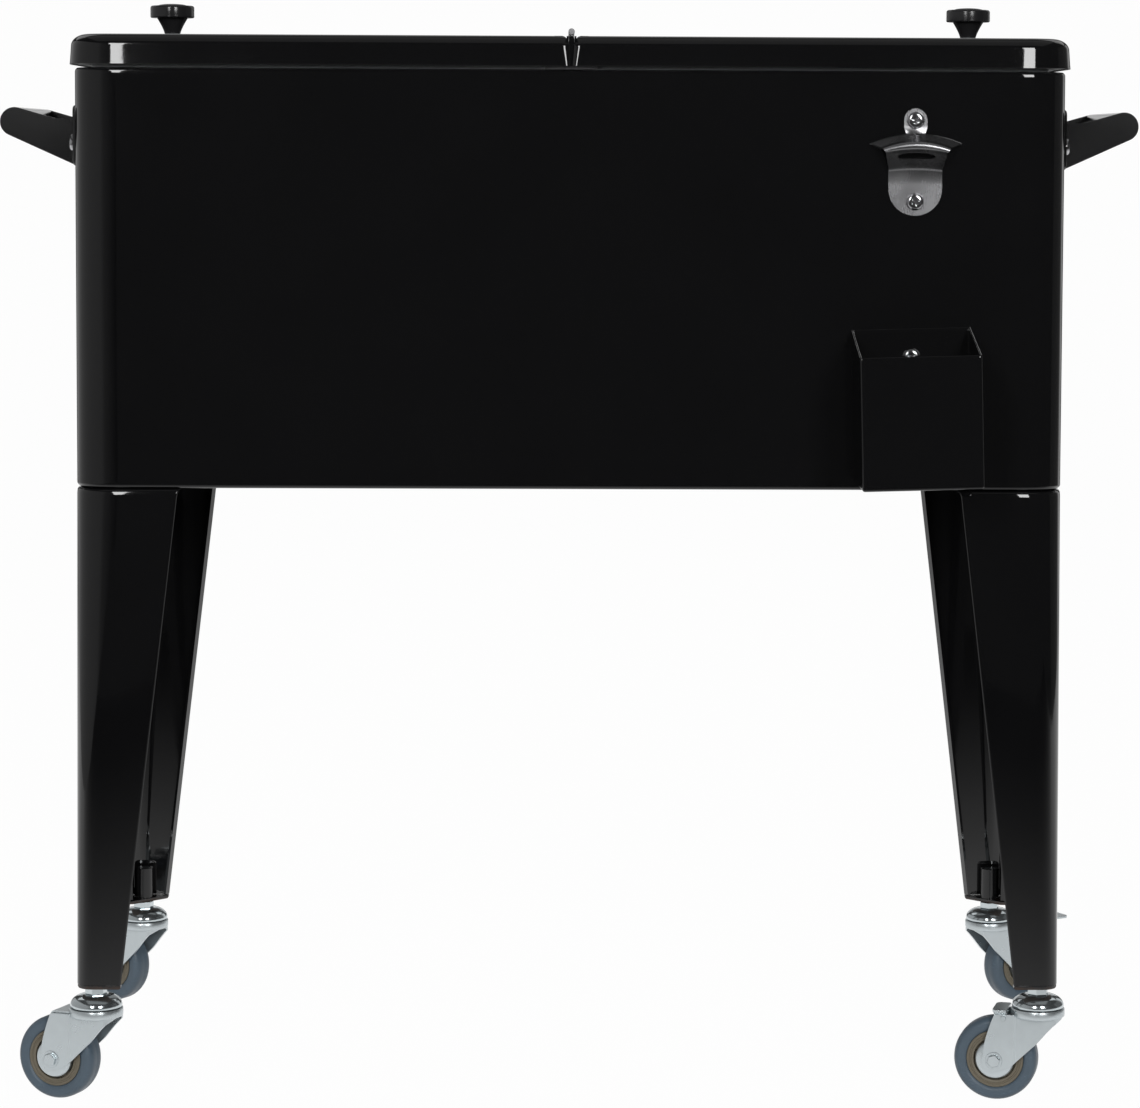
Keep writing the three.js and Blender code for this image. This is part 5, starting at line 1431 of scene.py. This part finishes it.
class COOLER_OT_stage(Operator):
    """Pale floor that curves up into a backdrop, reflector cards, soft lamps, world and the camera"""

    bl_idname = "cooler.stage"
    bl_label = "Studio"

    def execute(self, context):
        studio = context.scene.cooler_studio
        self.sweep()
        self.card("left_card", LEFT_CARD, LEFT_STOPS, studio.panel)
        self.card("right_card", RIGHT_CARD, RIGHT_STOPS, studio.rim)
        self.lamps(studio)
        self.world(context.scene, studio)
        self.camera(context.scene, studio)
        context.scene.view_settings.view_transform = "Standard"
        return {"FINISHED"}

    def sweep(self):
        """Floor and wall in one sheet: a straight, a quarter circle and a straight, carried along X."""
        wall, radius, height, half = 8.0, 1.4, 9.0, 2.8
        bow = arc(wall - radius, radius, radius, 270, 360, 24)
        path = np.concatenate([[[FLOOR_FRONT, 0.0]], bow, [[wall, height]]])
        points = [(x, y, z) for x in (-half, half) for y, z in path.tolist()]
        count = len(path)
        faces = [(i, i + count, i + count + 1, i + 1) for i in range(count - 1)]
        mesh = bpy.data.meshes.new("backdrop")
        mesh.from_pydata(points, [], faces)
        mesh.polygons.foreach_set("use_smooth", np.ones(len(mesh.polygons), dtype=bool))
        mesh.materials.append(backdrop_finish("pale sweep", 0.85, 0.98))
        sweep = bpy.data.objects.new("backdrop", mesh)
        bpy.context.collection.objects.link(sweep)

    def card(self, name, ends, shares, radiance, height=2.0):
        """Upright rectangle between two points of the floor, which only reflections see."""
        near, far = ends
        stops = [(place, radiance * share) for place, share in shares]
        points = [(*near, 0.0), (*far, 0.0), (*far, height), (*near, height)]
        mesh = bpy.data.meshes.new(name)
        mesh.from_pydata(points, [], [(0, 1, 2, 3)])
        mesh.materials.append(card_finish(name.replace("_", " "), stops))
        card = bpy.data.objects.new(name, mesh)
        bpy.context.collection.objects.link(card)
        card.visible_camera = False

    def lamps(self, studio):
        """Two tall softboxes behind the camera, one overhead and two behind, each placed by its
        angle and distance from a point of the chest."""
        left = Vector((-0.342, -0.16, 0.8))
        right = Vector((0.342, -0.16, 0.8))
        middle = Vector((0.0, 0.02, 0.45))
        # Name, aim, azimuth, elevation, distance, size and radiance of each lamp
        self.softbox("left_softbox", left, -12.6, 15.5, 4.0, (0.7, 1.63), studio.left)
        self.softbox("right_softbox", right, 15.8, 15.5, 4.0, (0.8, 1.63), studio.right)
        self.softbox("overhead", middle, 0.0, 86.0, 2.3, (3.2, 2.6), studio.top)
        self.softbox("rear_left", middle, -140.0, 38.0, 3.2, (1.2, 1.2), studio.rear)
        self.softbox("rear_right", middle, 140.0, 38.0, 3.2, (1.2, 1.2), studio.rear)

    def softbox(self, name, aim, azimuth, elevation, distance, size, radiance):
        """Rectangular lamp seen from the aim at an azimuth from -Y and an elevation; its watts are
        pi times its area times its radiance."""
        a, e = math.radians(azimuth), math.radians(elevation)
        way = Vector((math.sin(a) * math.cos(e), -math.cos(a) * math.cos(e), math.sin(e)))
        data = bpy.data.lights.new(name, "AREA")
        data.shape = "RECTANGLE"
        data.size, data.size_y = size
        data.energy = math.pi * size[0] * size[1] * radiance
        lamp = bpy.data.objects.new(name, data)
        bpy.context.collection.objects.link(lamp)
        lamp.location = aim + way * distance
        lamp.rotation_euler = (-way).to_track_quat("-Z", "Y").to_euler()
        lamp.visible_camera = False

    def world(self, scene, studio):
        """Nearly white to the camera, and a dim even room to every other ray."""
        world = bpy.data.worlds.new("studio")
        scene.world = world
        world.use_nodes = True
        nodes = Nodes(world.node_tree)
        background = nodes.tree.nodes["Background"]
        camera = nodes.node("ShaderNodeLightPath", {}, {}, "Is Camera Ray")
        room, pale = (studio.room,) * 3, (0.99,) * 3
        nodes.feed(background.inputs["Color"], nodes.blend(camera, room, pale))
        nodes.feed(background.inputs["Strength"], 1.0)

    def camera(self, scene, studio):
        """The lens in front of the chest, a few millimetres left of its middle, turned a little down."""
        data = bpy.data.cameras.new("camera")
        data.lens = studio.lens
        data.sensor_width = 36.0
        data.shift_x, data.shift_y = CAMERA_SHIFT
        data.clip_end = 60.0
        camera = bpy.data.objects.new("camera", data)
        bpy.context.collection.objects.link(camera)
        camera.location = (CAMERA_X, (MIDDLE_Y - HALF_DEPTH) * MM - studio.distance, studio.height)
        yaw, pitch, roll = (math.radians(angle) for angle in CAMERA_TURN)
        turn = Matrix.Rotation(yaw, 4, "Z") @ Matrix.Rotation(math.pi / 2 + pitch, 4, "X")
        camera.rotation_euler = (turn @ Matrix.Rotation(roll, 4, "Z")).to_euler()
        scene.camera = camera


class COOLER_PT_panel(Panel):
    """Sidebar panel with the sizes, the finishes and a button for each group of pieces"""

    bl_label = "Rolling Patio Cooler"
    bl_idname = "COOLER_PT_panel"
    bl_space_type = "VIEW_3D"
    bl_region_type = "UI"
    bl_category = "Cooler"

    def draw(self, context):
        for settings in (
            context.scene.cooler_sizes,
            context.scene.cooler_finishes,
            context.scene.cooler_studio,
        ):
            box = self.layout.box()
            for name in settings.bl_rna.properties.keys():
                if name not in {"rna_type", "name"}:
                    box.prop(settings, name)
        for operator in STEPS:
            self.layout.operator(operator.bl_idname)


STEPS = (
    COOLER_OT_stage,
    COOLER_OT_shell,
    COOLER_OT_tub,
    COOLER_OT_lids,
    COOLER_OT_hinge,
    COOLER_OT_knobs,
    COOLER_OT_handles,
    COOLER_OT_opener,
    COOLER_OT_catcher,
    COOLER_OT_screws,
    COOLER_OT_legs,
    COOLER_OT_castors,
    COOLER_OT_drain,
    COOLER_OT_carried,
)
CLASSES = (CoolerSizes, CoolerFinishes, CoolerStudio, *STEPS, COOLER_PT_panel)


def register():
    """Adds the classes and the scene's settings."""
    for thing in CLASSES:
        bpy.utils.register_class(thing)
    bpy.types.Scene.cooler_sizes = PointerProperty(type=CoolerSizes)
    bpy.types.Scene.cooler_finishes = PointerProperty(type=CoolerFinishes)
    bpy.types.Scene.cooler_studio = PointerProperty(type=CoolerStudio)


def unregister():
    """Takes the settings and the classes away again."""
    del bpy.types.Scene.cooler_studio
    del bpy.types.Scene.cooler_finishes
    del bpy.types.Scene.cooler_sizes
    for thing in reversed(CLASSES):
        bpy.utils.unregister_class(thing)


def main():
    register()
    for step in STEPS:
        group, name = step.bl_idname.split(".")
        getattr(getattr(bpy.ops, group), name)()


if __name__ == "__main__":
    main()
